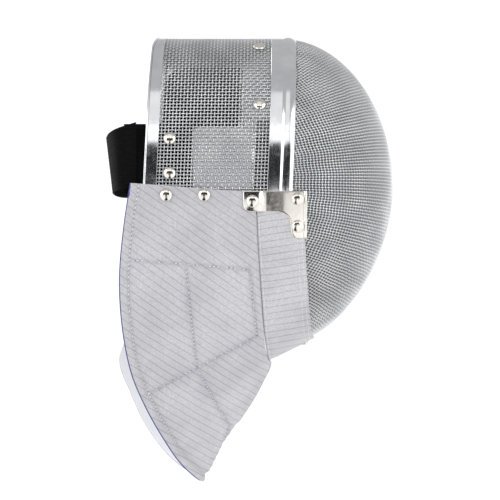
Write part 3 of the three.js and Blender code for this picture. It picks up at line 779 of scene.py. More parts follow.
net = faceNet()
netAngle = np.degrees(np.arctan2(net[..., 1], net[..., 2] - shell["axisZ"]))
belowSides = fold(netAngle) > shell["sideMeshEnd"]
faceStart = np.where(belowSides, bibSeam(netAngle) + 1, jointX(netAngle) + shell["gap"])
wovenMesh("face_wires", net, net[..., 0] > faceStart, "face_mesh", True)


strips = {
    "thickness": 0.8,
    "rearWidth": 11.5,
    "rearEnd": 97,
    "roll": 0.55,
    "frontFlange": 10.5,
    "frontBead": 11.5,
    "beadHeight": 1.3,
    "frontEnd": 98.5,
    "stations": 220,
    "crownRound": (5.5, 24),  # how far forward its rear edge turns at the crown, and over what angle
}


def crownLead(angle):
    # How far the rear edge of the rear strip turns forward near the crown.
    reach, spread = strips["crownRound"]
    return reach * (1 - smooth(fold(angle), 0, spread))


wireAngles = arcAngles(-shell["sideMeshEnd"], shell["sideMeshEnd"], weave["pitch"])
wireBack = np.arange(weave["sideRows"]) * weave["pitch"] + shell["gap"] + 1
sideAngle, sideBack = np.meshgrid(wireAngles, wireBack, indexing="ij")
sideNet = wall(jointX(sideAngle) - sideBack, sideAngle)
sideKept = sideNet[..., 0] > rimX(sideAngle) + crownLead(sideAngle) + weave["margin"]
sideBare = (sideNet[..., 0] > weave["bareX"]) & (fold(sideAngle) > weave["bareAngle"])
wovenMesh("side_wires", sideNet, sideKept, "side_mesh", sideBare)


# Polished strips

def strip(name, end, startX, outline, node, lead=lambda angle: 0 * angle):
    # A closed outline, as (along, height) corners, carried round the arch. lead moves its rear edge ahead.
    angles = np.linspace(-end, end, strips["stations"])[:, None]
    along, height = np.array(outline).T
    stations = startX(angles) + along[None] + lead(angles) * (1 - along[None] / along.max())
    sections = onWall(stations, angles + 0 * along[None], height[None] + 0 * angles)
    makePiece(name, swept(sections), "strip", node, 30)


outerLow = shell["gap"]
outerHigh = outerLow + strips["thickness"]
innerHigh = -shell["thickness"] - shell["gap"]
innerLow = innerHigh - strips["thickness"]
rollRadius = strips["roll"] + strips["thickness"] / 2
rearOutline = [
    (strips["rearWidth"] - 0.3, outerLow),
    (strips["rearWidth"], outerLow + 0.2),
    (strips["rearWidth"], outerHigh - 0.25),
    (strips["rearWidth"] - 0.25, outerHigh),
    (2.4 * rollRadius, outerHigh),
    *(
        (rollRadius + rollRadius * math.cos(a), outerLow + rollRadius * (0.8 + math.sin(a)))
        for a in np.radians(np.linspace(-60, 180, 12))
    ),
    (0, innerLow + 0.4),
    (0.4, innerLow),
    (strips["rearWidth"], innerLow),
    (strips["rearWidth"], innerHigh),
    (strips["thickness"], innerHigh),
    (strips["thickness"], outerLow),
]
strip("rear_strip_polished", strips["rearEnd"], rimX, rearOutline, "rear_strip", crownLead)

beadShares = np.linspace(0.98, 0.02, 13)
beadArch = np.sin(math.pi * beadShares) ** 0.55
beadHeights = outerHigh - 0.35 + (strips["beadHeight"] + 0.35) * beadArch
frontOutline = [
    (-strips["frontFlange"], outerLow),
    (0, outerLow),
    (strips["frontBead"], outerLow),
    *zip(strips["frontBead"] * beadShares, beadHeights),
    (-0.7, outerHigh - 0.1),
    (-1.6, outerHigh),
    (-strips["frontFlange"] + 0.3, outerHigh),
    (-strips["frontFlange"], outerHigh - 0.25),
]
strip("front_strip_polished", strips["frontEnd"], jointX, frontOutline, "front_strip")
print("strips ready")


# Bib. Each row is a line from the joint on the mesh to the free edge, from the ear down to the tip.
# drop: share of the bib's length below its top. reach: share of its reach behind the crown seat.
# spread: share of the mask's half width. seam: how far round the jaw the line starts.
# swing: share of how far the left half's lower corner swings back.
bibColumns = ("drop", "reach", "spread", "seam", "swing")
bibRows = np.array([
    (0, 0.88, 1, 0, 0),
    (0.15, 0.955, 1, 0.22, 0),
    (0.3, 1, 0.98, 0.41, 0),
    (0.45, 0.985, 0.91, 0.6, 0.08),
    (0.6, 0.91, 0.8, 0.77, 1),
    (0.72, 0.77, 0.655, 0.86, 1),
    (0.83, 0.595, 0.48, 0.925, 0.93),
    (0.93, 0.4, 0.26, 0.97, 0.6),
    (1, 0.195, 0, 1, 0),
])
crossesOver = (False, False, True, True, False)  # columns whose slope carries on past the tip
lastRow = len(bibRows) - 1
beyond = [np.where(crossesOver, 2 * bibRows[-1] - bibRows[-k], bibRows[-k]) for k in (2, 3)]
bibTable = np.vstack([2 * bibRows[0] - bibRows[1], bibRows, *beyond])


def bibValues(share):
    # A smooth reading of the table: a value for each column, by name.
    at = np.clip(np.asarray(share, float), -0.1, 1.1) * lastRow
    index = np.floor(np.clip(at, 0, lastRow)).astype(int)
    a, b, c, d = (bibTable[index + k] for k in range(4))
    t = (at - index)[..., None]
    found = b + 0.5 * t * (c - a + t * (2 * a - 5 * b + 4 * c - d + t * (3 * (b - c) + d - a)))
    return {name: found[..., k] for k, name in enumerate(bibColumns)}


bibTopAngle = float(angleAtHeight(bibSizes["topZ"] - bibSizes["topSlope"]))


def bibSurface(u, v):
    # u runs from the joint to the free edge, and v from the left ear (0) past the tip (1)
    # to the right ear (2).
    u, v = np.broadcast_arrays(np.asarray(u, float), np.asarray(v, float))
    left = v <= 1
    value = bibValues(np.where(left, v, 2 - v))
    angle = between(bibTopAngle, 180, value["seam"])
    start = wall(bibSeam(angle), angle)
    end = np.stack([
        -bibSizes["reach"] * value["reach"] - np.where(left, bibSizes["swing"] * value["swing"], 0),
        shell["halfWidth"] * value["spread"],
        bibSizes["topZ"] - bibSizes["length"] * value["drop"],
    ], -1)
    point = between(start, end, u[..., None])
    return point * np.stack([np.ones_like(u), np.where(left, 1, -1), np.ones_like(u)], -1)


# Quilting seams in the side view, from one end to the other: shares of the bib's reach behind the
# crown seat and of its length below the top.
quiltSeams = np.array([
    (0.884, 0.244, -0.389, 0.2735),
    (0.286, 0.258, 0.191, 0.595),
    (-0.396, 0.276, -0.469, 0.487),
    (0.75, 0.679, 0.191, 0.595),
    (0.191, 0.595, -0.469, 0.487),
    (0.191, 0.595, -0.009, 0.7295),
    (-0.009, 0.7295, -0.14, 0.806),
    (-0.14, 0.806, 0.06, 0.965),
])
seamScale = np.array([bibSizes["reach"], bibSizes["length"]])
seamPoints = np.array([0, bibSizes["topZ"]]) - quiltSeams.reshape(-1, 2, 2) * seamScale
seamStarts, seamEnds = seamPoints[:, 0], seamPoints[:, 1]

folds = {
    "pucker": 0.45,
    "puckerPitch": 6.5,
    "puckerReach": 5,
    "ripple": 0.8,
    "groove": 0.9,
    "grooveWidth": 1.0,
    "puff": 3.1,
    "puffSpread": 9,
    "seamShade": ((0.75, 0.9), (0.25, 4)),  # strength and width of the painted shade beside a seam
    "topShade": (0.3, 75, 15),  # painted shade near the top: strength, and where it starts and is full
}


def seamField(x, z):
    # Distance to the nearest quilting seam, and how far along it that is.
    here = np.stack([x, z], -1)[..., None, :]
    along = seamEnds - seamStarts
    long = size(along)
    share = np.clip(((here - seamStarts) * along).sum(-1) / long**2, 0, 1)
    away = size(here - seamStarts - share[..., None] * along)
    pick = np.expand_dims(away.argmin(-1), -1)
    return away.min(-1), np.take_along_axis(share * long, pick, -1)[..., 0]


def bibDistances(point, v):
    # Distance to the nearest quilting seam, how far along it that is, and distance to the
    # stitched line of the free edge, to the joint and to the nearest of the three.
    away, along = seamField(point[..., 0], point[..., 2])
    fromEdge = np.abs(size(point - bibSurface(1, v)) - bibSizes["edgeSeam"])
    fromJoint = size(point - bibSurface(0, v))
    return away, along, fromEdge, fromJoint, np.minimum(np.minimum(away, fromEdge), fromJoint)


def bibRelief(u, v):
    # Height of the quilted cloth over the bib's plain thickness.
    point = bibSurface(u, v)
    x, z = point[..., 0], point[..., 2]
    away, along, fromEdge, fromJoint, nearest = bibDistances(point, v)
    topSeam, topSeamEnd = bibSizes["length"] * quiltSeams[0, [1, 3]]
    below = smooth(bibSizes["topZ"] - z, topSeam, topSeamEnd + bibSizes["fade"])
    puff = below * folds["puff"] * (1 - np.exp(-2 * (nearest / folds["puffSpread"]) ** 2))
    wave = 2 * math.pi / folds["puckerPitch"]
    pucker = np.sin(wave * along + 0.3 * np.sin(z / 9)) * np.exp(-away / folds["puckerReach"])
    edgePucker = np.sin(wave * np.hypot(x, z)) * np.exp(-fromEdge / folds["puckerReach"])
    ripple = np.sin(x / 11 + 1.7 * np.sin(z / 23)) * np.sin(z / 17 + 0.9 * np.sin(x / 19))
    groove = bell(away, folds["grooveWidth"]) + bell(fromEdge, folds["grooveWidth"])
    return (
        puff
        + folds["pucker"] * (pucker + 0.7 * edgePucker) * smooth(fromJoint, 0, 8)
        + folds["ripple"] * ripple * smooth(nearest, 0, 6)
        - folds["groove"] * np.minimum(groove, 1)
    )


def bibPaintedShade(u, v):
    # How much painted shade darkens the cloth: along its seams and its joint, and a little near its top.
    point = bibSurface(u, v)
    nearest = bibDistances(point, v)[-1]
    strength, start, full = folds["topShade"]
    # Painted shade: darker towards the top of the bib.
    topShade = strength * smooth(point[..., 2], bibSizes["topZ"] - start, bibSizes["topZ"] - full)
    return np.maximum(sum(share * bell(nearest, width) for share, width in folds["seamShade"]), topShade)


stripFront = shell["rimTopX"] + strips["rearWidth"]


def bibLift(x):
    return bibSizes["lift"] * (1 - smooth(x, stripFront - shell["setback"], stripFront + bibSizes["liftRun"]))


def onBib(u, v, height):
    u, v = np.broadcast_arrays(np.asarray(u, float), np.asarray(v, float))
    x = bibSurface(u, v)[..., 0]
    return raised(bibSurface, u, v, np.asarray(height) + bibLift(x), 0.002)


liningTop = shell["gap"] + bibSizes["liningThickness"]
bibInner = liningTop + shell["gap"]
bibOuter = bibInner + bibSizes["thickness"]


def bibShare(u, v, margin):
    # Leaves room for the chin strip's edge and, by a margin, for the binding.
    ruling = bibSurface(1, v) - bibSurface(0, v)
    length = size(ruling)
    seam = bibValues(np.where(v <= 1, v, 2 - v))["seam"]
    angle = between(bibTopAngle, 180, seam) * np.where(v <= 1, 1, -1)
    back = wall(bibSeam(angle) - 1, angle) - wall(bibSeam(angle), angle)
    turn = np.arccos(np.clip((unit(ruling) * unit(back)).sum(-1), -1, 1))
    mitre = bibOuter * np.tan(np.minimum(turn, math.pi / 4))
    return between((0.2 + mitre) / length, 1 - margin / length, u)


gridV, gridU = np.meshgrid(np.linspace(0, 2, 301), np.linspace(0, 1, 97), indexing="ij")
clothU = bibShare(gridU, gridV, bibSizes["shown"])
edgeRound = np.clip(np.minimum(gridU, 1 - gridU) / 0.012, 0, 1)
outerHeight = bibOuter + bibRelief(clothU, gridV) - 0.5 * (1 - edgeRound)
clothMesh = slab(onBib(clothU, gridV, bibInner), onBib(clothU, gridV, outerHeight))
bib = makePiece("bib_cloth", clothMesh, "bib", "bib", 50)
# The seam mark carries the painted shade along the seams and near the top.
marked(bib, "seam", np.concatenate([bibPaintedShade(clothU, gridV).ravel(), np.zeros(gridU.size)]))

backV = gridV[::2, ::3]
backU = bibShare(gridU[::2, ::3], backV, bibSizes["liningEdge"])
liningWave = 0.4 * np.sin(backU * 40 + 3 * np.sin(backV * 9)) * np.sin(backV * 31)
liningHeights = (shell["gap"] + 0.3 * np.minimum(liningWave, 0), liningTop)
liningMesh = slab(*(onBib(backU, backV, height) for height in liningHeights))
lining = makePiece("bib_white_lining", liningMesh, "lining", "bib_lining", 50)
print("bib ready")


def bindingMesh():
    # A tape along the free edge, rounded over the rim and outside the lining.
    turn = np.radians(np.linspace(90, -90, 9))
    middle = (liningTop + bibOuter) / 2 + 0.1
    half = (bibOuter - liningTop) / 2 - 0.1
    out = bibSizes["binding"]
    bulge = 0.25 + 0.75 * np.cos(turn) ** 0.8
    rise = middle + half * (0.6 * np.sin(turn) - 0.3)
    outline = [(-0.6, middle + 0.3 * half), *zip(out * bulge, rise), (-0.6, middle - half)]
    along, height = np.array(outline).T
    v = np.linspace(0, 2, 400)[:, None]
    u = 1 - (out - along[None]) / size(bibSurface(1, v) - bibSurface(0, v))
    return swept(onBib(u, v + 0 * u, height[None] + 0 * u))


binding = makePiece("bib_edge_binding", bindingMesh(), "binding", "bib_binding", 50)
print("binding ready")


# Chin strip, over the face mesh under the chin

chinSizes = {
    "width": 40,
    "thickness": 2,
    "gap": 0.5,
    "start": 101.5,
    "joint": 0.2,
    "rearHem": 1.8,  # a stitched line, from the rear edge
    "hems": (2.6, 6.2),  # and two more, from the front edge
    "puff": 0.3,
}


def onChin(along, angle, height):
    return onWall(bibSeam(angle) + chinSizes["joint"] + along, angle, np.asarray(height, float))


def chinRelief(along, angle):
    fromFront = chinSizes["width"] - along
    rearHem, innerHem = chinSizes["rearHem"], chinSizes["hems"][1]
    groove = sum(bell(fromFront - hem, 0.8) for hem in chinSizes["hems"]) + bell(along - rearHem, 0.8)
    middle = smooth(along, rearHem, 9) * smooth(fromFront, innerHem, innerHem + 9)
    pucker = np.sin(angle * 0.95) * np.exp(-np.abs(along - rearHem) / 4) * 0.16
    wave = 0.16 * np.sin(angle / 5 + along / 9) * np.sin(along / 6 - angle / 11)
    edge = np.clip(np.minimum(along, fromFront) / 0.5, 0, 1)
    return chinSizes["puff"] * middle + pucker + wave * middle - 0.3 * groove - 0.35 * (1 - edge)


chinAngle, chinAlong = np.meshgrid(
    np.linspace(chinSizes["start"], 360 - chinSizes["start"], 241),
    np.concatenate([[0, 0.25, 0.5], np.linspace(1, 39, 56), [39.5, 39.75, 40]]) * chinSizes["width"] / 40,
    indexing="ij",
)
chinLow, chinHigh = chinSizes["gap"], chinSizes["gap"] + chinSizes["thickness"]
chinHeights = (chinLow + 0 * chinAlong, chinHigh + chinRelief(chinAlong, chinAngle))
chinMesh = slab(*(onChin(chinAlong, chinAngle, height) for height in chinHeights))
chinCloth = makePiece("chin_strip_cloth", chinMesh, "chin", "chin_strip", 50)
print("chin strip ready")


# Stitches

thread = {
    "length": 2.5,
    "pitch": 3.8,
    "radius": 0.42,
    "hemLength": 1.9,
    "hemPitch": 3.0,
    "hemRadius": 0.22,
    "hole": 0.42,  # half the length of the dark gap between two stitches
    "sides": 5,
    "ends": ((0, 0.45, -0.8), (0.18, 1, 0), (0.82, 1, 0), (1, 0.45, -0.8)),  # share, width and lift
}


def stitched(name, lines, look, length, pitch, radius, offset=0):
    # A row of short rods along each line, given as a pair: points and the normals there.
    starts, ends, normals = [], [], []
    for points, up in lines:
        run = runAlong(points)
        first = np.arange(pitch / 2 + offset, run[-1] - length, pitch)
        at = lambda where, values: np.stack([np.interp(where, run, values[:, k]) for k in range(3)], -1)
        starts.append(at(first, points))
        ends.append(at(first + length, points))
        normals.append(unit(at(first + length / 2, up)))
    starts, ends, normals = (np.concatenate(values) for values in (starts, ends, normals))
    along = unit(ends - starts)
    across = unit(np.cross(along, normals))
    up = np.cross(across, along)
    rings = []
    for share, width, lift in thread["ends"]:
        centre = between(starts, ends, share) + up * radius * lift
        rings.append(circles(centre, across, up, radius * width, thread["sides"]))
    return makePiece(name, joined(np.stack(rings, 1)), look)


def bibPlaces(x, z, left):
    # Where on the bib's surface a point of the side view lies, found in small steps.
    target = np.stack([x, z], -1)
    flat = lambda u, v: bibSurface(u, v)[:, [0, 2]]
    u, v = np.full(len(x), 0.5), np.full(len(x), 0.5 if left else 1.5)
    step = 1e-4
    for _ in range(40):
        here = flat(u, v)
        alongU = (flat(u + step, v) - here) / step
        alongV = (flat(u, v + step) - here) / step
        miss = target - here
        area = alongU[:, 0] * alongV[:, 1] - alongU[:, 1] * alongV[:, 0]
        moveU = (miss[:, 0] * alongV[:, 1] - miss[:, 1] * alongV[:, 0]) / area
        moveV = (alongU[:, 0] * miss[:, 1] - alongU[:, 1] * miss[:, 0]) / area
        u = np.clip(u + np.clip(moveU, -0.1, 0.1), 0.01, 0.99)
        v = np.clip(v + np.clip(moveV, -0.1, 0.1), *((0, 0.999) if left else (1.001, 2)))
    return u, v, size(flat(u, v) - target) < 0.5


def lineOn(surface, height):
    # A stitched line just on a surface, and its normals.
    low = surface(height)
    return low, surface(height + 1) - low


def onBibCloth(u, v):
    return lineOn(lambda height: onBib(u, v, height), bibOuter + bibRelief(u, v))


def onChinCloth(along, angle):
    return lineOn(lambda height: onChin(along, angle, height), chinHigh + chinRelief(along, angle))


bibLines = []
for start, end in zip(seamStarts, seamEnds):
    for left in (True, False):
        share = np.linspace(0, 1, int(size(end - start) / 1.5))
        u, v, good = bibPlaces(*(between(start[k], end[k], share) for k in (0, 1)), left)
        if good.sum() > 4:
            bibLines.append(onBibCloth(u[good], v[good]))
edgeV = np.linspace(0.002, 1.998, 700)
edgeLength = size(bibSurface(1, edgeV) - bibSurface(0, edgeV))
bibLines.append(onBibCloth(1 - bibSizes["edgeSeam"] / edgeLength, edgeV))
bibThread = (thread["length"], thread["pitch"], thread["radius"])
bibStitches = stitched("bib_stitches", bibLines, "thread", *bibThread)
gapMiddle = (thread["length"] + thread["pitch"]) / 2
holeSizes = (2 * thread["hole"], thread["pitch"], thread["radius"] * 0.8, gapMiddle - thread["hole"])
# Dark rods between the stitches: painted shade in the needle holes.
bibHoles = stitched("bib_needle_hole_shade", bibLines, "holeShade", *holeSizes)

hemAngle = np.linspace(chinSizes["start"] + 4, 356 - chinSizes["start"], 500)
hemPlaces = (chinSizes["rearHem"], *(chinSizes["width"] - hem for hem in chinSizes["hems"]))
chinLines = [onChinCloth(np.full_like(hemAngle, along), hemAngle) for along in hemPlaces]
hemSizes = (thread["hemLength"], thread["hemPitch"], thread["hemRadius"])
chinStitches = stitched("chin_strip_stitches", chinLines, "thread", *hemSizes)
print("stitches ready")


# Corner brackets

plate = {
    "thickness": 1.2,
    "rear": 26.2,
    "length": 54,
    "topZ": shell["axisZ"] - 5.5,
    "height": 40,
    "tab": 17.5,
    "tabRound": 7,
    "neck": 27,
    "wing": 13.5,
    "foot": 7,
    "stepStart": 38.5,
    "stepEnd": 46,
    "lip": 0.8,
    "lipWidth": 2,
    "bevel": 0.45,
    "boss": (10.5, 0.9),  # radius and height of the swelling round the rear rivet
    "bossAt": (8, 8.9),  # its place, from the upper rear corner
    "pitch": 0.55,
}
plateFront = plate["rear"] + plate["length"]
plateHigh = bibOuter + shell["gap"]
plateLow = chinHigh + shell["gap"]
bossPlace = (plate["rear"] + plate["bossAt"][0], plate["topZ"] - plate["bossAt"][1])
handed = (("left", 1), ("right", -1))


def plateBase(x):
    return between(plateHigh, plateLow, smooth(x, plate["stepStart"], plate["stepEnd"]))


def plateOutline():
    rear, front, top, turn = plate["rear"], plateFront, plate["topZ"], plate["tabRound"]
    bottom, tabBottom = top - plate["height"], top - plate["tab"]
    wing, waist = front - plate["wing"], (tabBottom + bottom) / 2
    points = curve((rear, tabBottom + turn), (rear, tabBottom), (rear + turn, tabBottom))
    points += curve((rear + plate["neck"], tabBottom), (wing, tabBottom), (wing, waist))
    points += curve((wing, waist), (wing, bottom), (front - plate["foot"], bottom))[1:]
    points += curve((front - 1, bottom), (front, bottom), (front, bottom + 1), 4)
    points += curve((front, top - 1), (front, top), (front - 1, top), 4)
    points += curve((rear + 2, top), (rear, top), (rear, top - 2), 5)
    return np.array(points)


def heightAngle(x, z):
    # Angle at which the wall has a height, at a station along X.
    angle = angleAtHeight(z)
    for _ in range(3):
        angle = angleAtHeight(shell["axisZ"] + (z - shell["axisZ"]) / profileShare(x, angle))
    return angle


def plateTop(flat, distance):
    x, z = flat.T
    bevel = plate["bevel"] * (1 - np.clip(distance / (1.6 * plate["bevel"]), 0, 1)) ** 2
    lip = plate["lip"] * smooth(x, plateFront - plate["lipWidth"] - 0.5, plateFront - plate["lipWidth"] + 0.3)
    radius, height = plate["boss"]
    reach = np.hypot(x - bossPlace[0], z - bossPlace[1]) / radius
    boss = height * np.clip(1 - reach**2, 0, 1) ** 1.5
    return plateBase(x) + plate["thickness"] + lip - bevel + boss


def bracketMesh(sign):
    def place(flat, height):
        x, z = flat.T
        return onWall(x, sign * heightAngle(x, z), height)

    under = lambda flat, distance: plateBase(flat[:, 0])
    return patch(plateOutline(), plate["pitch"], place, plateTop, under, (0.25, 0.6))


for side, sign in handed:
    makePiece(f"bracket_plate_{side}", bracketMesh(sign), "nickel", f"corner_bracket_{side}", 40)
print("brackets ready")


# Rivets

rivetSizes = {
    "radius": 5.4,
    "height": 2.6,
    "chinRadius": 3.2,
    "shank": 1.8,
    "tailRadius": 3.6,
    "tail": 1,
    "sides": 40,
}


def rivetProfile(radius, seat, inside):
    # Radius and height corners, from the top of the head down to the middle of the tail.
    height, tail, wide, shank = (rivetSizes[key] for key in ("height", "tail", "tailRadius", "shank"))
    turn = np.radians(np.linspace(0, 90, 11))
    return [
        *((radius * math.sin(a) ** 0.95, seat + height * (0.2 + 0.8 * math.cos(a))) for a in turn),
        (radius, seat + 0.25),
        (radius - 0.25, seat),
        (shank, seat),
        (shank, inside),
        (wide - 0.2, inside),
        (wide, inside - 0.2),
        (wide, inside - tail + 0.3),
        (wide - 0.3, inside - tail),
        (0, inside - tail),
    ]


def rivet(node, x, angle, radius, seat, inside):
    foot = onWall(x, angle, 0)
    up = unit(onWall(x, angle, 1) - foot)
    side = unit(np.cross(up, [1, 0, 0]))
    profile = np.array(rivetProfile(radius, seat + shell["gap"], inside - shell["gap"]))
    reach = np.maximum(profile[:, 0], 0.01)[:, None, None]
    centres = foot + up * profile[:, 1:]
    rings = circles(centres, np.cross(side, up)[None], side[None], reach, rivetSizes["sides"])
    makePiece(node + "_domed", swept(rings), "nickel", node, 42)


strapTop = shell["axisZ"] + 53.5
rimEar = float(rimX(90))
anchorBottom = -shell["thickness"] - 2 * shell["gap"] - strips["thickness"] - 2
stripFrontEar = rimEar + strips["rearWidth"]
bibRivetAngle = angleAtHeight(bibSizes["topZ"] - 10.3)
wingX, wingSeat = plate["rear"] + 46.4, plateLow + plate["thickness"]
meshInside = -shell["thickness"]
# Each row: station along X, angle (for a bracket's rivet its height), seat, and inner side of what it holds
rivetRows = {
    "strap_rivet_upper": (rimEar + 22.7, angleAtHeight(strapTop - 14), 0, anchorBottom),
    "strap_rivet_lower": (rimEar + 22.7, angleAtHeight(strapTop - 44), 0, anchorBottom),
    "crown_rivet": (40.5, 20.4, 0, meshInside),
    "brow_rivet": (40.5, 51.2, 0, meshInside),
    "bib_rivet_rear": (stripFrontEar + 8.5, bibRivetAngle, bibOuter, meshInside),
    "bib_rivet_front": (stripFrontEar + 41, bibRivetAngle, bibOuter, meshInside),
    "bracket_rivet_rear": (*bossPlace, plateHigh + plate["thickness"] + plate["boss"][1] - 0.3, meshInside),
    "bracket_rivet_upper": (wingX, plate["topZ"] - 7.1, wingSeat, meshInside),
    "bracket_rivet_lower": (wingX, plate["topZ"] - 30.2, wingSeat, meshInside),
}
for name, (x, place, seat, inside) in rivetRows.items():
    angle = float(angleAtHeight(place) if name.startswith("bracket") else place)
    if name.startswith("bib"):
        seat += float(bibLift(x - rivetSizes["radius"]))
    for side, sign in handed:
        rivet(f"{name}_{side}", x, sign * angle, rivetSizes["radius"], seat, inside)
chinX = float(bibSeam(180)) + chinSizes["joint"] + chinSizes["width"] - 8.8
rivet("chin_rivet", chinX, 180, rivetSizes["chinRadius"], chinHigh, meshInside)
print("rivets ready")


# Straps

strap = {
    "thickness": 2,
    "width": 55,
    "drop": (10, 5.5),  # how much lower its upper and lower edges lie behind the head
    "lean": (4.5, 11),  # and how much less far back they reach than the loop is long
    "anchorFront": 36,
    "anchorRear": 17,
    "front": 6,
    "reach": 37,
    "power": 2.2,
    "edge": 1.2,  # how far in the rounded edges reach
    "edgeDrop": 0.6,
    "ribPitch": 3.1,
    "rib": 0.12,
}
anchorTop = anchorBottom + strap["thickness"]


def webbingHeights(down):
    # Heights of the two faces of a strap over its lower side, for places down its width.
    inwards = np.minimum(down, strap["width"] - down)
    edge = strap["edgeDrop"] * (1 - np.clip(inwards / strap["edge"], 0, 1)) ** 2
    rib = strap["rib"] * np.sin(2 * math.pi * down / strap["ribPitch"])
    return edge + rib * 0.5, strap["thickness"] - edge - strap["rib"] + rib


def anchorMesh(sign):
    stations = np.linspace(rimEar - strap["anchorRear"], rimEar + strap["anchorFront"], 54)
    down, along = np.meshgrid(np.linspace(0, strap["width"], 67), stations, indexing="ij")
    angle = sign * angleAtHeight(strapTop - down)
    return slab(*(onWall(along, angle, anchorBottom + height) for height in webbingHeights(down)))


def loopMesh():
    start = rimEar - strap["front"]
    bend = strap["reach"] - strap["anchorRear"] + strap["front"]
    half = shell["halfWidth"] + anchorTop + shell["gap"]
    turn = np.radians(np.concatenate([[-90], np.linspace(-90, 90, 141), [90]]))
    straight = np.zeros((len(turn), 1), bool)
    straight[[0, -1]] = True
    rows = np.linspace(0, strap["width"], 61)[None]
    across = (np.sign(turn) * np.abs(np.sin(turn)) ** (2 / strap["power"]))[:, None]
    depth = np.maximum(np.cos(turn), 0)[:, None] ** (2 / strap["power"])
    drop, lean = (between(*strap[key], rows / strap["width"]) for key in ("drop", "lean"))

    def layer(height):
        y = across * (half + height)
        x = start - (strap["reach"] - bend) - depth * (bend - strap["thickness"] - lean + height)
        x = np.where(straight, start, x)
        z = strapTop - rows - drop * (start - x) / (strap["reach"] - lean)
        return np.stack(np.broadcast_arrays(x, y, z), -1)

    return slab(*(layer(height) for height in webbingHeights(rows)))


for side, sign in handed:
    makePiece(f"strap_end_{side}", anchorMesh(sign), "webbing", f"strap_anchor_{side}", 60)
headStrap = makePiece("head_strap_webbing", loopMesh(), "webbing", "head_strap", 60)
print("straps ready")


# Pads, all inside the mesh. Their outlines are drawn flat, with degrees round the arch as millimetres.
pads = {
    "perDegree": 2.15,
    "top": -shell["thickness"] - shell["gap"],
    "crownThickness": shell["crownPad"],
    "thickness": 9,
    "crownHalf": 30.5,
    "browEnd": 57,
    "browRear": 26,
    "front": 56,
    "rear": stripFront + 1,
    "rimLeg": 3,
    "temple": (-41.5, 25, 32, 59.5),  # rear, front, first and last angle
    "templeSlant": 6,  # how much further back its front edge ends
    "templeRound": (24, 4, 5, 5),  # its upper rear corner, then round to the lower rear one
    "cheek": (-17, 34, 61, 98),
    "cheekSlant": 0,
    "cheekRound": 7,
    "edge": 2.2,  # thickness left at the edges
    "roll": 6,  # how far in the rounded edges reach
    "pitch": 2.4,
}


def padPiece(name, corners, radius, look, slotName, node, thickness, shift):
    # thickness depends on the angle. shift follows the setback of the rim, fading out ahead.
    outline = rounded(np.array(corners, float) * [pads["perDegree"], 1], radius)

    def place(flat, height):
        angle, x = flat[:, 0] / pads["perDegree"], flat[:, 1]
        back = setback(angle) * (1 - smooth(x, pads["rear"] + pads["rimLeg"], 20)) if shift else 0
        return onWall(x - back, angle, height)

    def under(flat, distance):
        full = thickness(flat[:, 0] / pads["perDegree"])
        rolled = np.sqrt(1 - (1 - np.clip(distance / pads["roll"], 0, 1)) ** 2)
        dimple = 0.25 * np.sin(flat[:, 0] / 7) * np.sin(flat[:, 1] / 8)
        return pads["top"] - pads["edge"] - (full - pads["edge"] - 0.3) * rolled - dimple * rolled

    def top(flat, distance):
        return pads["top"] - 0.9 * (1 - np.clip(distance / 2.5, 0, 1)) ** 2

    mesh = patch(outline, pads["pitch"], place, top, under, (0.5, 1.3))
    makePiece(name, mesh, look, node, 70)


def crownThickness(angle):
    share = smooth(fold(angle), pads["crownHalf"] / 2, pads["crownHalf"])
    return between(pads["crownThickness"], pads["thickness"], share)


def sideThickness(angle):
    return pads["thickness"] + 0 * angle


half, leg, rear = pads["crownHalf"], pads["browEnd"], pads["rear"]
legFront = rear + pads["rimLeg"]
crownCorners = [
    (-leg, pads["browRear"]),
    (-leg, pads["front"]),
    (leg, pads["front"]),
    (leg, pads["browRear"]),
    (half, pads["browRear"]),
    (half, legFront),
    (leg, legFront),
    (leg, rear),
    (-leg, rear),
    (-leg, legFront),
    (-half, legFront),
    (-half, pads["browRear"]),
]
cornerRadii = (5, 5, 5, 5, 4, 2, 2, 2, 2, 2, 2, 4)
crownLook = ("crownPad", "pale_pad", "crown_pad")
padPiece("crown_cushion", crownCorners, cornerRadii, *crownLook, crownThickness, True)
padKinds = {"temple": ("darkPad", "dark_pad", True), "cheek": ("palePad", "pale_pad", False)}
for kind, (look, slotName, shift) in padKinds.items():
    back, ahead, first, last = pads[kind]
    end = ahead - pads[kind + "Slant"]
    for side, sign in handed:
        corners = [(sign * first, back), (sign * first, ahead), (sign * last, end), (sign * last, back)]
        names = f"{kind}_cushion_{side}", f"{kind}_pad_{side}"
        padPiece(names[0], corners, pads[kind + "Round"], look, slotName, names[1], sideThickness, shift)
print("pads ready")


# Studio, in metres

studio = {
    "floorZ": -0.46,
    "floorRadius": 2.6,
    "rimRadius": 3.8,
    "rimHeight": 2.6,
    "floorColour": (0.86, 0.86, 0.87),
    "worldColour": (0.975, 0.98, 1.0),
    "worldStrength": 0.55,
    "middle": (0.03, 0, -0.17),  # what the lamps shine on
    "camera": (0.0322, -1.4, -0.1772),
    "lens": 109.6,
    "sensor": 36,
}
# Black cards beside the lights, for the metal to reflect: place, target, width and height
flags = {
    "flag_bar": ((0.03, -1.9, 0.25), (0.03, 0, 0.25), 2.5, 0.68),
    "flag_stem": ((-0.05, -1.9, -0.28), (-0.05, 0, -0.28), 0.36, 0.36),
    "flag_floor": ((-0.03, -1.05, -0.455), (-0.03, -1.05, 1), 0.22, 1.7),
}
# Place, size and watts
lamps = {
    "key_softbox": ((-0.03, -1.45, 1.0), (0.9, 1.1), 1.3),
    "left_softbox": ((-1.1, -1.3, 0.45), (0.9, 1.2), 6.0),
    "right_softbox": ((1.15, -1.25, 0.4), (0.9, 1.2), 6.0),
    "rear_softbox": ((-1.2, 0.9, 0.9), (1.0, 0.8), 5),
}


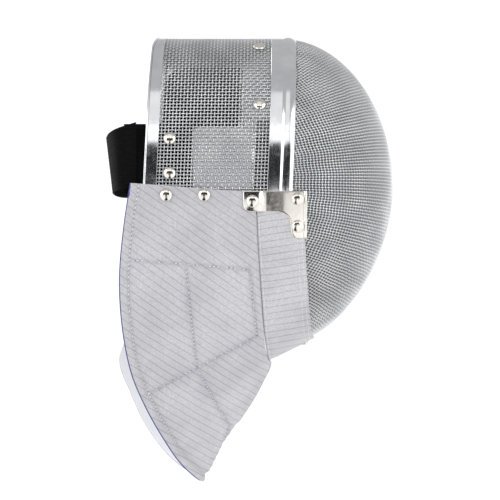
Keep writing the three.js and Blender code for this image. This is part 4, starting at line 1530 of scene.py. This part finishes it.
def floorPiece():
    turn = np.linspace(0, 2 * math.pi, 97)[:-1]
    bend = np.radians(np.linspace(0, 90, 19))
    radii = [0.01, 0.6, 1.4, *between(studio["floorRadius"], studio["rimRadius"], np.sin(bend))]
    heights = [0, 0, 0, *(studio["rimHeight"] * (1 - np.cos(bend)))]
    rings = [np.stack([r * np.cos(turn), r * np.sin(turn), 0 * turn + h], -1) for r, h in zip(radii, heights)]
    points = np.array(rings).reshape(-1, 3) + [0, 0, studio["floorZ"]]
    data = bpy.data.meshes.new("studio_floor")
    faces = gridFaces(len(rings), len(turn), closed=True).tolist() + [list(range(len(turn)))]
    data.from_pydata(points.tolist(), [], faces)
    data.polygons.foreach_set("use_smooth", [True] * len(data.polygons))
    graph = Graph("pale_floor")
    cloud = graph.noise(graph.place()[0], 1.2, 2)
    colour = graph.blend(cloud * 0.3, studio["floorColour"], (0.82, 0.82, 0.83))
    data.materials.append(graph.finish(colour=colour, roughness=0.9, glow=colour, glowStrength=0.42))
    placed("studio_floor", data)


def aimed(made, place, target, front):
    made.location = place
    made.rotation_euler = (Vector(target) - Vector(place)).to_track_quat(front, "Y").to_euler()


floorPiece()
for name, (place, target, width, height) in flags.items():
    data = bpy.data.meshes.new(name)
    corners = [(x * width / 2, y * height / 2, 0) for x, y in ((-1, -1), (1, -1), (1, 1), (-1, 1))]
    data.from_pydata(corners, [], [(0, 1, 2, 3)])
    graph = Graph(name + "_cloth")
    nap = graph.noise(graph.place()[0], 300, 2)
    data.materials.append(graph.finish(colour=(0.008, 0.008, 0.009, 1), roughness=0.8 + nap * 0.2))
    card = placed(name, data)
    aimed(card, place, target, "Z")
    card.visible_camera = card.visible_diffuse = card.visible_shadow = False
for name, (place, extent, watts) in lamps.items():
    data = bpy.data.lights.new(name, "AREA")
    data.shape, data.size, data.size_y = "RECTANGLE", *extent
    data.energy = watts
    aimed(placed(name, data), place, studio["middle"], "-Z")

scene = bpy.context.scene
scene.world = bpy.data.worlds.new("pale_room")
scene.world.use_nodes = True
background = scene.world.node_tree.nodes["Background"]
background.inputs["Color"].default_value = (*studio["worldColour"], 1)
background.inputs["Strength"].default_value = studio["worldStrength"]
scene.view_settings.view_transform = "Standard"

cameraData = bpy.data.cameras.new("camera")
cameraData.lens, cameraData.sensor_width = studio["lens"], studio["sensor"]
cameraData.sensor_fit = "HORIZONTAL"
camera = placed("camera", cameraData)
camera.location = studio["camera"]
camera.rotation_euler = (math.pi / 2, 0, 0)
scene.camera = camera
print("studio ready")
